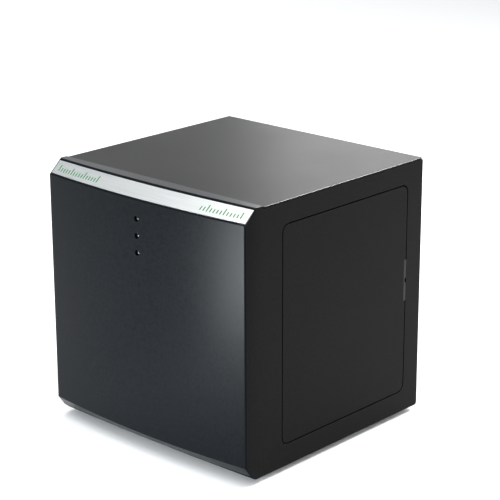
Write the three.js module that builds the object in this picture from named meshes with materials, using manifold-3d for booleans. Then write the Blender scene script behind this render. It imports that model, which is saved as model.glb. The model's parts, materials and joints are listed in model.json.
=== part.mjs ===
// Bench-top motion controller in a cube-shaped case: bowed front cap with a bright trim strip and
// three lamps, flat panels on four rails, a hinged access door, drive cards, supply and fan.
// Millimetres. +X is the viewer's right, -Y the front, +Z up; the feet stand on z = 0.

import * as THREE from 'three';
import { mergeVertices } from 'three/addons/utils/BufferGeometryUtils.js';
import Module from 'manifold-3d';

const wasm = await Module();
wasm.setup();

// ---------------------------------------------------------------- driving dimensions
const BODY_WIDTH = 229;
const BODY_HEIGHT = 230; // without the feet
const BODY_DEPTH = 225; // front cap's side edges to the rear edges
const FOOT_HEIGHT = 5;
const FACE_BOW = 7; // how far the middle of the front face stands proud of its side edges
const LIP_BOW = 4;
const SILL_BOW = 2.3;
const CAP_DEPTH = 20.5;
const CAP_WALL = 3;
const TOP_CHAMFER = { run: 13.2, rise: 12 };
const BASE_CHAMFER = { run: 11.4, rise: 13.1 };
const REAR_REACH = 6; // how far the connectors stand out behind the rear edges
const SHEET = 1.5;
const GAP = 0.3; // between pieces that touch
const SEAM = 0.3; // between the front cap and the side panels
const COVER_STEP = 0.8; // the cap's lip stands this far above the top cover
const BOW_STEPS = 16;

// The trim's recess runs between two shares of the way up the chamfer; clear is the dark gap round it.
const TRIM = { from: 0.095, to: 0.92, endMargin: 0.8, recess: 1.8, sunk: 0.15, thickness: 1.05 };
const TRIM_CLEAR = { share: 0.036, end: 0.7 };
const LAMP = { top: 207.7, pitch: 14.6, radius: 2.4, flange: 2.85, hole: 2.6, count: 3, sunk: 1.2 };
const DOOR = { front: -68.3, rear: 92.7, bottom: 24.6, top: 214.3, corner: 7, gap: 1.2, flange: 9 };
const HINGE = { inset: 4.5, back: 9, pin: 1.5, hole: 1.75, head: 2.2, shelf: 3, leg: 9, width: 18 };
const PULL = { z: 128, length: 38, depth: 2.4, thumb: 2.6, backing: 2.5, clear: 0.35 };
const STRIKE = { inset: [24, 12], drop: 40, height: 22, reach: 8 };
const RAIL = 8;
const FAN = { x: -62, z: 178, side: 80, depth: 25, bore: 38, hub: 16, tip: 36.5, blades: 7 };
const FAN_SCREW = { offset: 35.75, hole: 2.1 }; // each way from the fan's middle
const BLADE = { thickness: 1.4, chord: 17, rootTwist: 50, tipTwist: 32, depth: 16 };
const GUARD = { wire: 0.9, rings: [13, 24, 35], eye: 3.8, eyeHole: 2 };
const INLET = { x: -84, z: 42, width: 32, height: 50, rim: 2, flange: 2.2, depth: 25 };
const INLET_PIN = { pitch: 7, stagger: 2, width: 2, height: 4 };
const SOCKET = { width: 24, height: 16.4, depth: 17, corner: 4.5, rise: 9 };
const DRAWER = { width: 20, height: 9, depth: 17, drop: -12 };
const SWITCH = { x: -84, z: 100, width: 18, height: 30, depth: 18, tilt: 7 };
const SUPPLY = { x: [-104, -46], y: [-72, 68], height: 54, slots: 9, slotPitch: 12 };
const BOARD = { x: [-38, 104], y: [-86, 104], z: 16, thickness: 1.6 };
const CARDS = { first: 0, pitch: 34, count: 3, y: [-46, 100], bottom: 22, top: 168, thickness: 1.6 };
const CONNECTOR_SPANS = [39, 39, 25];
const CARD_CONNECTOR_Z = 120;
const HEATSINK = { fins: 7, pitch: 7, fin: 2, base: 3, depth: 13, height: 56, y: -18, z: 118 };
const BASE_SLOTS = { count: 6, first: -30, pitch: 12, width: 4, y: [-20, 40] };
const SIDE_SLOTS = { count: 8, first: -60, pitch: 9, width: 4, z: [40, 90] };
const STANDOFF_RADIUS = 3;

// ---------------------------------------------------------------- places worked out from them
const HALF_WIDTH = BODY_WIDTH / 2;
const DEPTH_ALL = FACE_BOW + BODY_DEPTH + REAR_REACH;
const FRONT_Y = FACE_BOW - DEPTH_ALL / 2;
const REAR_Y = FRONT_Y + BODY_DEPTH;
const BODY_Z = FOOT_HEIGHT;
const TOP_Z = BODY_Z + BODY_HEIGHT;
const COVER_Z = TOP_Z - COVER_STEP;
const CAP_BACK = FRONT_Y + CAP_DEPTH;
const PANEL_FRONT = CAP_BACK + SEAM;
const PANEL_TOP = COVER_Z - SHEET - GAP;
const INNER_X = HALF_WIDTH - SHEET - GAP;
const REAR_FACE = REAR_Y - 0.5;
const REAR_INNER = REAR_FACE - SHEET - GAP;
const FRONT_PLATE_Y = CAP_BACK + GAP;
const INSIDE_FRONT = FRONT_PLATE_Y + SHEET + GAP;
const INSIDE_BOTTOM = BODY_Z + SHEET + GAP;
const OUTSIDE_REAR = REAR_FACE + GAP;
const BOARD_TOP = BOARD.z + BOARD.thickness;

// ---------------------------------------------------------------- materials
function material(color, roughness, metalness) {
  return new THREE.MeshStandardMaterial({ color, roughness, metalness });
}

const capPlastic = material(0x2a2e30, 0.5, 0);
const trimSilver = material(0xc9cfcf, 0.35, 0.8);
const lampPlastic = material(0x1d1f1c, 0.2, 0);
const panelPaint = material(0x303335, 0.55, 0.1);
const bareSteel = material(0xa9adb0, 0.4, 0.9);
const railAluminium = material(0xb9bcbe, 0.45, 0.9);
const blackPlastic = material(0x141516, 0.5, 0);
const rubber = material(0x1a1a1a, 0.9, 0);
const brass = material(0xc2a25a, 0.35, 0.9);
const boardGreen = material(0x1f5a38, 0.5, 0);
const cableGrey = material(0x8d9093, 0.6, 0);
const cableBlack = material(0x1b1b1c, 0.6, 0);

// ---------------------------------------------------------------- solids
function toSolid(geometry) {
  const bare = geometry.index ? geometry.toNonIndexed() : geometry.clone();
  bare.deleteAttribute('normal');
  bare.deleteAttribute('uv');
  const merged = mergeVertices(bare, 1e-4);
  return new wasm.Manifold(new wasm.Mesh({
    numProp: 3,
    vertProperties: new Float32Array(merged.attributes.position.array),
    triVerts: new Uint32Array(merged.index.array),
  }));
}

function toGeometry(solid) {
  const mesh = solid.getMesh();
  const geometry = new THREE.BufferGeometry();
  geometry.setAttribute('position', new THREE.BufferAttribute(mesh.vertProperties, 3));
  geometry.setIndex(new THREE.BufferAttribute(mesh.triVerts, 1));
  geometry.computeVertexNormals();
  return geometry;
}

function block([x0, x1], [y0, y1], [z0, z1]) {
  const geometry = new THREE.BoxGeometry(x1 - x0, y1 - y0, z1 - z0);
  geometry.translate((x0 + x1) / 2, (y0 + y1) / 2, (z0 + z1) / 2);
  return toSolid(geometry);
}

function span(centre, size) {
  return [centre - size / 2, centre + size / 2];
}

// A cylinder along X, Y or Z, between two places on that axis.
function rod(axis, radius, from, to, [a, b] = [0, 0], sides = 24) {
  const geometry = new THREE.CylinderGeometry(radius, radius, to - from, sides);
  geometry.translate(0, (from + to) / 2, 0);
  if (axis === 'x') geometry.rotateZ(-Math.PI / 2).translate(0, a, b);
  if (axis === 'y') geometry.translate(a, 0, b);
  if (axis === 'z') geometry.rotateX(Math.PI / 2).translate(a, b, 0);
  return toSolid(geometry);
}

function roundedOutline([u0, u1], [v0, v1], radii) {
  const [r00, r10, r11, r01] = Array.isArray(radii) ? radii : [radii, radii, radii, radii];
  const shape = new THREE.Shape();
  shape.moveTo(u0 + r00, v0);
  shape.lineTo(u1 - r10, v0);
  if (r10 > 0) shape.absarc(u1 - r10, v0 + r10, r10, -Math.PI / 2, 0);
  shape.lineTo(u1, v1 - r11);
  if (r11 > 0) shape.absarc(u1 - r11, v1 - r11, r11, 0, Math.PI / 2);
  shape.lineTo(u0 + r01, v1);
  if (r01 > 0) shape.absarc(u0 + r01, v1 - r01, r01, Math.PI / 2, Math.PI);
  shape.lineTo(u0, v0 + r00);
  if (r00 > 0) shape.absarc(u0 + r00, v0 + r00, r00, Math.PI, 1.5 * Math.PI);
  return shape;
}

function polygon(points) {
  return new THREE.Shape(points.map(([u, v]) => new THREE.Vector2(u, v)));
}

// An outline drawn in (Y, Z) and given thickness along X.
function plateX(outline, [x0, x1], curveSegments = 5) {
  const options = { depth: x1 - x0, bevelEnabled: false, curveSegments };
  const geometry = new THREE.ExtrudeGeometry(outline, options);
  const turn = new THREE.Matrix4().makeBasis(
    new THREE.Vector3(0, 1, 0), new THREE.Vector3(0, 0, 1), new THREE.Vector3(1, 0, 0));
  geometry.applyMatrix4(turn);
  geometry.translate(x0, 0, 0);
  return toSolid(geometry);
}

// An outline drawn in (X, Z) and given thickness along Y.
function plateY(outline, [y0, y1], curveSegments = 3) {
  const options = { depth: y1 - y0, bevelEnabled: false, curveSegments };
  const geometry = new THREE.ExtrudeGeometry(outline, options);
  geometry.rotateX(Math.PI / 2);
  geometry.translate(0, y1, 0);
  return toSolid(geometry);
}

// An outline drawn in (X, Y) and given thickness along Z.
function plateZ(outline, [z0, z1], curveSegments = 3) {
  const options = { depth: z1 - z0, bevelEnabled: false, curveSegments };
  const geometry = new THREE.ExtrudeGeometry(outline, options);
  geometry.translate(0, 0, z0);
  return toSolid(geometry);
}

function joined(solids) {
  return solids.reduce((all, solid) => all.add(solid));
}

function cut(solid, tools) {
  return tools.reduce((left, tool) => left.subtract(tool), solid);
}

const controller = new THREE.Group();

function place(name, solid, look, [x, y, z] = [0, 0, 0]) {
  const geometry = solid.isBufferGeometry ? solid : toGeometry(solid);
  const mesh = new THREE.Mesh(geometry, look);
  mesh.name = name;
  mesh.position.set(x, y, z);
  controller.add(mesh);
  return mesh;
}

// ---------------------------------------------------------------- front cap and trim
// How far forwards a line with this bow stands at a share of the half width.
function bowAt(share, bow) {
  return bow * (1 - share * share);
}

// A block with a flat back and a front that is bowed in plan. Each level, from the bottom up,
// gives a height, the y of the front's side edges there, and the bow there.
function bowedBlock(halfWidth, levels, backY) {
  const geometry = new THREE.BoxGeometry(2, 2, 2, BOW_STEPS, 1, levels.length - 1);
  const position = geometry.attributes.position;
  for (let i = 0; i < position.count; i += 1) {
    const share = position.getX(i);
    const level = levels[Math.round((position.getZ(i) + 1) / 2 * (levels.length - 1))];
    const y = position.getY(i) < 0 ? level.y - bowAt(share, level.bow) : backY;
    position.setXYZ(i, share * halfWidth, y, level.z);
  }
  return toSolid(geometry);
}

// The cap's levels, moved inwards by the wall so that walls and chamfers keep one thickness.
function capLevels(wall) {
  const slant = wall * Math.SQRT2;
  const base = BASE_CHAMFER;
  const top = TOP_CHAMFER;
  return [
    { z: BODY_Z + wall, y: FRONT_Y + base.run * (1 - wall / base.rise) + slant, bow: SILL_BOW },
    { z: BODY_Z + base.rise + slant - wall, y: FRONT_Y + wall, bow: FACE_BOW },
    { z: TOP_Z - top.rise - slant + wall, y: FRONT_Y + wall, bow: FACE_BOW },
    { z: TOP_Z - wall, y: FRONT_Y + top.run * (1 - wall / top.rise) + slant, bow: LIP_BOW },
  ];
}

// A bent slab that follows the top chamfer: from and to are shares of the way up it, and the
// depths are measured inwards from its surface.
function chamferSlab(halfLength, from, to, [outer, inner]) {
  const geometry = new THREE.BoxGeometry(2, 2, 2, BOW_STEPS, 1, 1);
  const position = geometry.attributes.position;
  for (let i = 0; i < position.count; i += 1) {
    const x = position.getX(i) * halfLength;
    const share = x / HALF_WIDTH;
    const up = position.getZ(i) < 0 ? from : to;
    const depth = position.getY(i) < 0 ? outer : inner;
    const lowY = FRONT_Y - bowAt(share, FACE_BOW);
    const highY = FRONT_Y + TOP_CHAMFER.run - bowAt(share, LIP_BOW);
    const run = highY - lowY;
    const length = Math.hypot(run, TOP_CHAMFER.rise);
    const y = lowY + run * up + depth * TOP_CHAMFER.rise / length;
    const z = TOP_Z - TOP_CHAMFER.rise * (1 - up) - depth * run / length;
    position.setXYZ(i, x, y, z);
  }
  return toSolid(geometry);
}

function lampHeights() {
  return Array.from({ length: LAMP.count }, (_, i) => LAMP.top - i * LAMP.pitch);
}

const LAMP_TIP_Y = FRONT_Y - FACE_BOW + LAMP.sunk;
const LAMP_BODY = 7.2;
const LAMP_BOARD_Y = LAMP_TIP_Y + LAMP_BODY + GAP;
const LAMP_BOARD = { halfWidth: 10, bottom: 168, top: 218, thickness: 1.6 };
const LAMP_POST = { x: 6.5, inset: 4, radius: 2.4 };

function frontCap() {
  const shell = bowedBlock(HALF_WIDTH, capLevels(0), CAP_BACK);
  const hollow = bowedBlock(HALF_WIDTH - CAP_WALL, capLevels(CAP_WALL), CAP_BACK + 1);
  const recess = chamferSlab(HALF_WIDTH - TRIM.endMargin, TRIM.from, TRIM.to, [-2, TRIM.recess]);
  const holes = lampHeights().map((z) => rod('y', LAMP.hole, FRONT_Y - 10, FRONT_Y, [0, z], 20));
  const posts = [];
  for (const x of [-LAMP_POST.x, LAMP_POST.x]) {
    for (const z of [LAMP_BOARD.bottom + LAMP_POST.inset, LAMP_BOARD.top - LAMP_POST.inset]) {
      const start = FRONT_Y - FACE_BOW + CAP_WALL / 2;
      posts.push(rod('y', LAMP_POST.radius, start, LAMP_BOARD_Y - GAP, [x, z], 12));
    }
  }
  const cap = cut(shell, [hollow, recess, ...holes]);
  place('front_bezel', joined([cap, ...posts]), capPlastic);
}

function trimStrip() {
  const halfLength = HALF_WIDTH - TRIM.endMargin - TRIM_CLEAR.end;
  const depths = [TRIM.sunk, TRIM.sunk + TRIM.thickness];
  const strip = chamferSlab(halfLength, TRIM.from + TRIM_CLEAR.share, TRIM.to - TRIM_CLEAR.share, depths);
  place('trim_strip', strip, trimSilver);
}

// A domed lamp on a flange, made standing on its back and laid to look forwards.
function lampGeometry() {
  const straight = LAMP_BODY - LAMP.radius;
  const profile = [[0, 0], [LAMP.flange, 0], [LAMP.flange, 1], [LAMP.radius, 1], [LAMP.radius, straight]];
  for (let i = 1; i <= 5; i += 1) {
    const angle = i / 5 * Math.PI / 2;
    profile.push([LAMP.radius * Math.cos(angle), straight + LAMP.radius * Math.sin(angle)]);
  }
  profile[profile.length - 1][0] = 0;
  const points = profile.map(([r, h]) => new THREE.Vector2(r, h));
  return new THREE.LatheGeometry(points, 12).rotateX(Math.PI);
}

function lamps() {
  lampHeights().forEach((z, i) => {
    const solid = toSolid(lampGeometry());
    place(`indicator_lamp_${i + 1}`, solid, lampPlastic, [0, LAMP_TIP_Y + LAMP_BODY, z]);
  });
  const board = block([-LAMP_BOARD.halfWidth, LAMP_BOARD.halfWidth], [0, LAMP_BOARD.thickness],
    [LAMP_BOARD.bottom, LAMP_BOARD.top]);
  place('indicator_board', board, boardGreen, [0, LAMP_BOARD_Y, 0]);
}

// ---------------------------------------------------------------- case
const RIBBON = { width: 12, thickness: 1, z: 176, slot: [18, 9], turnY: INSIDE_FRONT + 9, header: 8 };

function frontPlate() {
  const plate = plateY(roundedOutline([-INNER_X, INNER_X], [INSIDE_BOTTOM, PANEL_TOP], 1), [0, SHEET]);
  const slot = block(span(0, RIBBON.slot[0]), [-1, SHEET + 1], span(RIBBON.z, RIBBON.slot[1]));
  place('front_plate', plate.subtract(slot), bareSteel, [0, FRONT_PLATE_Y, 0]);
}

function basePlate() {
  const plate = plateZ(roundedOutline([-INNER_X, INNER_X], [FRONT_PLATE_Y, REAR_FACE], 1), [0, SHEET]);
  const slots = [];
  for (let i = 0; i < BASE_SLOTS.count; i += 1) {
    const x = span(BASE_SLOTS.first + i * BASE_SLOTS.pitch, BASE_SLOTS.width);
    slots.push(block(x, BASE_SLOTS.y, [-1, SHEET + 1]));
  }
  const standoffs = [];
  for (const x of [BOARD.x[0] + 6, BOARD.x[1] - 14]) {
    for (const y of [BOARD.y[0] + 6, BOARD.y[1] - 6]) {
      standoffs.push(rod('z', STANDOFF_RADIUS, SHEET / 2, BOARD.z - GAP - BODY_Z, [x, y], 12));
    }
  }
  place('base_plate', joined([cut(plate, slots), ...standoffs]), bareSteel, [0, 0, BODY_Z]);
}

function topCover() {
  const outline = roundedOutline([-HALF_WIDTH, HALF_WIDTH], [PANEL_FRONT, REAR_Y], [0, 2.5, 2.5, 0]);
  place('top_cover', plateZ(outline, [COVER_Z - SHEET, COVER_Z]), panelPaint);
}

function sideOutline() {
  return roundedOutline([PANEL_FRONT, REAR_Y], [BODY_Z, PANEL_TOP], [0, 2.5, 0, 0]);
}

function leftPanel() {
  const panel = plateX(sideOutline(), [0, SHEET]);
  const slots = [];
  for (let i = 0; i < SIDE_SLOTS.count; i += 1) {
    const y = span(SIDE_SLOTS.first + i * SIDE_SLOTS.pitch, SIDE_SLOTS.width);
    slots.push(block([-1, SHEET + 1], y, SIDE_SLOTS.z));
  }
  place('left_panel', cut(panel, slots), panelPaint, [-HALF_WIDTH, 0, 0]);
}

// The door's outline, grown or shrunk by an offset.
function doorOutline(offset) {
  return roundedOutline(
    [DOOR.front - offset, DOOR.rear + offset], [DOOR.bottom - offset, DOOR.top + offset],
    DOOR.corner + offset);
}

function rightPanel() {
  const panel = plateX(sideOutline(), [0, SHEET]);
  const opening = plateX(doorOutline(DOOR.gap / 2), [-1, SHEET + 1]);
  place('right_panel', panel.subtract(opening), panelPaint, [HALF_WIDTH - SHEET, 0, 0]);
}

const DOOR_EDGE = DOOR.gap / 2;
const PIVOT = { x: HALF_WIDTH - HINGE.inset, y: DOOR.front + DOOR_EDGE + HINGE.back };
const DOOR_FLANGE_DROP = 2; // from the door's edge to its folded flange

function accessDoor() {
  const skin = plateX(doorOutline(-DOOR_EDGE), [0, SHEET]);
  const flangeX = [SHEET / 2 - DOOR.flange, SHEET / 2];
  const flangeY = [DOOR.front + 4, DOOR.rear - 12];
  const top = DOOR.top - DOOR_EDGE - DOOR_FLANGE_DROP;
  const bottom = DOOR.bottom + DOOR_EDGE + DOOR_FLANGE_DROP;
  const flanges = [
    block(flangeX, flangeY, [top - SHEET, top]),
    block(flangeX, flangeY, [bottom, bottom + SHEET]),
  ];
  const pinX = PIVOT.x - (HALF_WIDTH - SHEET);
  const pinHole = rod('z', HINGE.hole, DOOR.bottom - 5, DOOR.top + 5, [pinX, PIVOT.y], 16);
  const notchY = [DOOR.rear - DOOR_EDGE - PULL.depth, DOOR.rear + 5];
  const notch = block([-1, SHEET + 1], notchY, span(PULL.z, PULL.length));
  const folded = joined(flanges).subtract(pinHole);
  place('access_door', skin.add(folded).subtract(notch), panelPaint, [HALF_WIDTH - SHEET, 0, 0]);
}

// A moulded insert in the door's rear edge, with a thumbnail nick halfway up.
function fingerPull() {
  const rearY = DOOR.rear + DOOR_EDGE - PULL.clear;
  const face = block([0, SHEET], [DOOR.rear - DOOR_EDGE - PULL.depth + GAP, rearY],
    span(PULL.z, PULL.length - 2 * GAP));
  const backing = block([-PULL.backing - GAP, -GAP], [DOOR.rear - DOOR_EDGE - 8, DOOR.rear - DOOR_EDGE],
    span(PULL.z, PULL.length + 6));
  const web = block([-1, SHEET / 2], [DOOR.rear - DOOR_EDGE - PULL.depth + GAP, DOOR.rear - DOOR_EDGE],
    span(PULL.z, PULL.length - 2 * GAP));
  const nick = rod('x', PULL.thumb, 0.4, SHEET + 1, [rearY + 0.6, PULL.z], 16);
  const pull = joined([face, backing, web]).subtract(nick);
  place('finger_pull', pull, blackPlastic, [HALF_WIDTH - SHEET, 0, 0]);
}

// An angle bracket on the right panel's inner face, level with the end of the door. side is 1 at
// the top of the door and -1 at its bottom.
function hingeBracket(name, side) {
  const edge = side > 0 ? DOOR.top + DOOR_EDGE : DOOR.bottom - DOOR_EDGE;
  const shelf = [edge + side, edge + side * HINGE.shelf].sort((a, b) => a - b);
  const leg = [edge + side, edge + side * HINGE.leg].sort((a, b) => a - b);
  const y = span(PIVOT.y, HINGE.width);
  const axis = [PIVOT.x, PIVOT.y];
  const headRoom = [edge + side * (HINGE.shelf - 0.2), edge + side * (HINGE.leg + 1)].sort((a, b) => a - b);
  const solid = cut(joined([
    block([PIVOT.x - 5, INNER_X], y, shelf),
    block([INNER_X - SHEET, INNER_X], y, leg),
  ]), [
    rod('z', HINGE.hole, edge - 20, edge + 20, axis, 16),
    rod('z', HINGE.head + GAP, headRoom[0], headRoom[1], axis, 16),
  ]);
  place(name, solid, bareSteel);
}

function hingePin(name, side) {
  const edge = side > 0 ? DOOR.top + DOOR_EDGE : DOOR.bottom - DOOR_EDGE;
  const headStart = HINGE.shelf + GAP;
  const length = DOOR.gap + DOOR_FLANGE_DROP + SHEET + 1;
  const headEnd = headStart + 1.4;
  const shaft = rod('z', HINGE.pin, -length, headEnd, [0, 0], 16);
  const head = rod('z', HINGE.head, headStart, headEnd, [0, 0], 16);
  const mesh = place(name, shaft.add(head), bareSteel, [PIVOT.x, PIVOT.y, edge]);
  if (side < 0) mesh.rotation.x = Math.PI;
}

// A magnet on the right panel, behind a steel strike plate on the door.
function doorCatch() {
  const strikeY = STRIKE.inset.map((inset) => DOOR.rear - inset);
  const z = PULL.z - STRIKE.drop;
  const strike = block([-1 - GAP, -GAP], strikeY, span(z, STRIKE.height));
  place('strike_plate', strike, bareSteel, [HALF_WIDTH - SHEET, 0, 0]);
  const reach = INNER_X - STRIKE.reach;
  const nose = block([reach, INNER_X - 1 - GAP], [strikeY[0], DOOR.rear + 6], span(z, STRIKE.height - 2));
  const foot = block([reach, INNER_X], [DOOR.rear + DOOR_EDGE + 1, DOOR.rear + 11],
    span(z, STRIKE.height - 2));
  place('catch_magnet', nose.add(foot), blackPlastic);
}

function rails() {
  const length = [INSIDE_FRONT, REAR_INNER];
  for (const [side, x] of [['left', [-INNER_X, RAIL - INNER_X]], ['right', [INNER_X - RAIL, INNER_X]]]) {
    for (const [level, z] of [['upper', PANEL_TOP - RAIL], ['lower', INSIDE_BOTTOM]]) {
      const bar = block(x, length, [z, z + RAIL]);
      const groove = block([x[0] + 3, x[1] - 3], [length[0] - 1, length[1] + 1], [z - 1, z + 2]);
      const rail = level === 'upper' ? bar : bar.subtract(groove);
      place(`rail_${level}_${side}`, rail, railAluminium);
    }
  }
}

function feet() {
  const profile = [[0, 0], [7.5, 0], [8.5, 1], [9, FOOT_HEIGHT - GAP], [0, FOOT_HEIGHT - GAP]];
  const points = profile.map(([r, h]) => new THREE.Vector2(r, h));
  const inset = 30;
  for (const [side, x] of [['left', inset - HALF_WIDTH], ['right', HALF_WIDTH - inset]]) {
    for (const [end, y] of [['front', PANEL_FRONT + inset], ['rear', REAR_Y - inset]]) {
      const foot = new THREE.LatheGeometry(points, 20).rotateX(Math.PI / 2);
      place(`foot_${end}_${side}`, toSolid(foot), rubber, [x, y, 0]);
    }
  }
}

// ---------------------------------------------------------------- rear panel and its fittings
function cardX(i) {
  return CARDS.first + i * CARDS.pitch;
}

// The D shape of a connector shell, longer on one side, drawn upright in (X, Z).
function dOutline(length, width, slant) {
  const half = length / 2;
  const side = width / 2;
  return polygon([[-side, -half], [side, -half + slant], [side, half - slant], [-side, half]]);
}

const USB = { x: 17, width: 12, height: 11 };
const SERIAL = { x: 51, width: 31, height: 12.5, shell: 17, opening: 9 };
const USB_Z = BOARD_TOP + GAP + USB.height / 2;
const SERIAL_Z = BOARD_TOP + GAP + SERIAL.height / 2;
const APERTURE = { width: 14, height: 62 };
const BRACKET = { width: 20, height: 104, thickness: 1.2 };

function fanScrewPlaces() {
  const at = FAN_SCREW.offset;
  return [[-at, -at], [at, -at], [at, at], [-at, at]];
}

function rearPanel() {
  const outline = roundedOutline([-INNER_X, INNER_X], [INSIDE_BOTTOM, PANEL_TOP], 1);
  const through = [-1, SHEET + 1];
  const tools = [
    rod('y', FAN.bore, -1, SHEET + 1, [FAN.x, FAN.z], 40),
    ...fanScrewPlaces().map(([x, z]) => rod('y', FAN_SCREW.hole, -1, SHEET + 1, [FAN.x + x, FAN.z + z], 12)),
    block(span(INLET.x, INLET.width - 3), through, span(INLET.z, INLET.height - 3)),
    block(span(SWITCH.x, SWITCH.width - 3), through, span(SWITCH.z, SWITCH.height - 3)),
    block(span(USB.x, USB.width + 1), through, span(USB_Z, USB.height + 1)),
    block(span(SERIAL.x, SERIAL.shell + 1), through, span(SERIAL_Z, SERIAL.opening)),
  ];
  for (let i = 0; i < CARDS.count; i += 1) {
    tools.push(block(span(cardX(i), APERTURE.width), through, span(CARD_CONNECTOR_Z, APERTURE.height)));
  }
  const panel = cut(plateY(outline, [0, SHEET]), tools);
  place('rear_panel', panel, panelPaint, [0, REAR_FACE - SHEET, 0]);
}

// Square fan housing around a round bore, with the motor boss on four struts at its inner side.
function fanFrame() {
  const side = span(0, FAN.side);
  const housing = plateY(roundedOutline(side, side, 4), [0, FAN.depth]);
  const ring = cut(housing, [rod('y', FAN.bore, -1, FAN.depth + 1, [0, 0], 40)]);
  const holes = fanScrewPlaces().map((at) => rod('y', FAN_SCREW.hole, -1, FAN.depth + 1, at, 12));
  const strut = (angle) => {
    const geometry = new THREE.BoxGeometry(2 * FAN.bore + 1, 2.5, 3);
    geometry.translate(0, 1.25, 0).rotateY(angle);
    return toSolid(geometry);
  };
  const spider = joined([rod('y', FAN.hub, 0, 2.5, [0, 0], 24), strut(Math.PI / 4), strut(-Math.PI / 4)]);
  place('fan_frame', cut(ring, holes).add(spider), blackPlastic, [FAN.x, REAR_INNER - FAN.depth, FAN.z]);
}

function fanRotor() {
  const hub = rod('y', FAN.hub, 0, BLADE.depth + 1, [0, 0], 24);
  const blades = Array.from({ length: FAN.blades }, (_, i) => {
    const reach = FAN.tip - FAN.hub + 2;
    const blade = new THREE.BoxGeometry(reach, BLADE.thickness, BLADE.chord, 3, 1, 1);
    const position = blade.attributes.position;
    for (let k = 0; k < position.count; k += 1) {
      const outwards = position.getX(k) / reach + 0.5;
      const twist = THREE.MathUtils.degToRad(THREE.MathUtils.lerp(BLADE.rootTwist, BLADE.tipTwist, outwards));
      const y = position.getY(k);
      const z = position.getZ(k);
      position.setY(k, y * Math.cos(twist) - z * Math.sin(twist));
      position.setZ(k, y * Math.sin(twist) + z * Math.cos(twist));
    }
    blade.translate(FAN.hub - 2 + reach / 2, (BLADE.depth + 1) / 2, 0).rotateY(i / FAN.blades * 2 * Math.PI);
    return toSolid(blade);
  });
  const swept = rod('y', FAN.tip, 0.5, BLADE.depth + 0.5, [0, 0], 40);
  const rotor = hub.add(joined(blades).intersect(swept));
  place('fan_rotor', rotor, blackPlastic, [FAN.x, REAR_INNER - FAN.depth + 3.2, FAN.z]);
}

// Wire finger guard: rings on four legs that end in screw eyes.
function fanGuard() {
  const { wire, rings, eye, eyeHole } = GUARD;
  const hoops = rings.map((radius) => toSolid(new THREE.TorusGeometry(radius, wire, 5, 24)
    .rotateX(Math.PI / 2).translate(0, 2.2, 0)));
  const legs = [];
  const eyes = [];
  const reach = FAN_SCREW.offset * Math.SQRT2;
  fanScrewPlaces().forEach((at, i) => {
    const leg = new THREE.CylinderGeometry(wire, wire, reach - rings[0], 6).rotateZ(Math.PI / 2);
    legs.push(toSolid(leg.translate((reach + rings[0]) / 2, 1.2, 0).rotateY(Math.PI / 4 + i * Math.PI / 2)));
    eyes.push(rod('y', eye, 0, 2 * wire, at, 16).subtract(rod('y', eyeHole, -1, 3, at, 12)));
  });
  const guard = joined([...hoops, ...legs, ...eyes]);
  place('fan_guard', guard, bareSteel, [FAN.x, OUTSIDE_REAR, FAN.z]);
}

// The socket's outline: a rectangle with its two lower corners cut off.
function socketOutline() {
  const w = SOCKET.width / 2;
  const h = SOCKET.height / 2;
  const c = SOCKET.corner;
  return polygon([[-w + c, -h], [w - c, -h], [w, -h + c], [w, h], [-w, h], [-w, -h + c]]);
}

function mainsInlet() {
  const flangeOutline = roundedOutline(span(0, INLET.width), span(0, INLET.height), 2);
  const flange = plateY(flangeOutline, [0, INLET.flange]);
  const body = block(span(0, INLET.width - 2 * INLET.rim), [-INLET.depth, 1],
    span(0, INLET.height - 2 * INLET.rim));
  const socket = plateY(socketOutline(), [INLET.flange - SOCKET.depth, INLET.flange + 1])
    .translate([0, 0, SOCKET.rise]);
  const drawerY = [INLET.flange - DRAWER.depth - 1, INLET.flange + 1];
  const drawerHole = block(span(0, DRAWER.width + 2 * GAP), drawerY,
    span(DRAWER.drop, DRAWER.height + 2 * GAP));
  const pinHoles = inletPinPlaces().map(([x, z]) => block(
    span(x, INLET_PIN.width + 2 * GAP), [-INLET.depth - 1, 0], span(z, INLET_PIN.height + 2 * GAP)));
  const solid = cut(joined([flange, body]), [socket, drawerHole, ...pinHoles]);
  place('mains_inlet', solid, blackPlastic, [INLET.x, OUTSIDE_REAR, INLET.z]);
}

function inletPinPlaces() {
  const { pitch, stagger } = INLET_PIN;
  return [[-pitch, SOCKET.rise - stagger], [0, SOCKET.rise + stagger], [pitch, SOCKET.rise - stagger]];
}

function inletPins() {
  const names = ['inlet_pin_neutral', 'inlet_pin_earth', 'inlet_pin_line'];
  inletPinPlaces().forEach(([x, z], i) => {
    const pin = block(span(0, INLET_PIN.width), [-INLET.depth - 5, INLET.flange - 5],
      span(0, INLET_PIN.height));
    place(names[i], pin, brass, [INLET.x + x, OUTSIDE_REAR, INLET.z + z]);
  });
}

function fuseDrawer() {
  const tray = block(span(0, DRAWER.width), [INLET.flange - DRAWER.depth, INLET.flange + 0.6],
    span(0, DRAWER.height));
  const pocket = block(span(0, DRAWER.width - 6), [INLET.flange - DRAWER.depth + 2, INLET.flange - 4],
    [-DRAWER.height / 2 + 1.5, DRAWER.height]);
  const grip = block(span(0, 8), [INLET.flange - 1.2, INLET.flange + 2],
    [DRAWER.height / 2 - 1.6, DRAWER.height]);
  place('fuse_drawer', cut(tray, [pocket, grip]), blackPlastic,
    [INLET.x, OUTSIDE_REAR, INLET.z + DRAWER.drop]);
}

const ROCKER = { halfLength: 9, end: 7, middle: 5.4, back: -3, width: 11.4, pivotIn: 4.2 };

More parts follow.
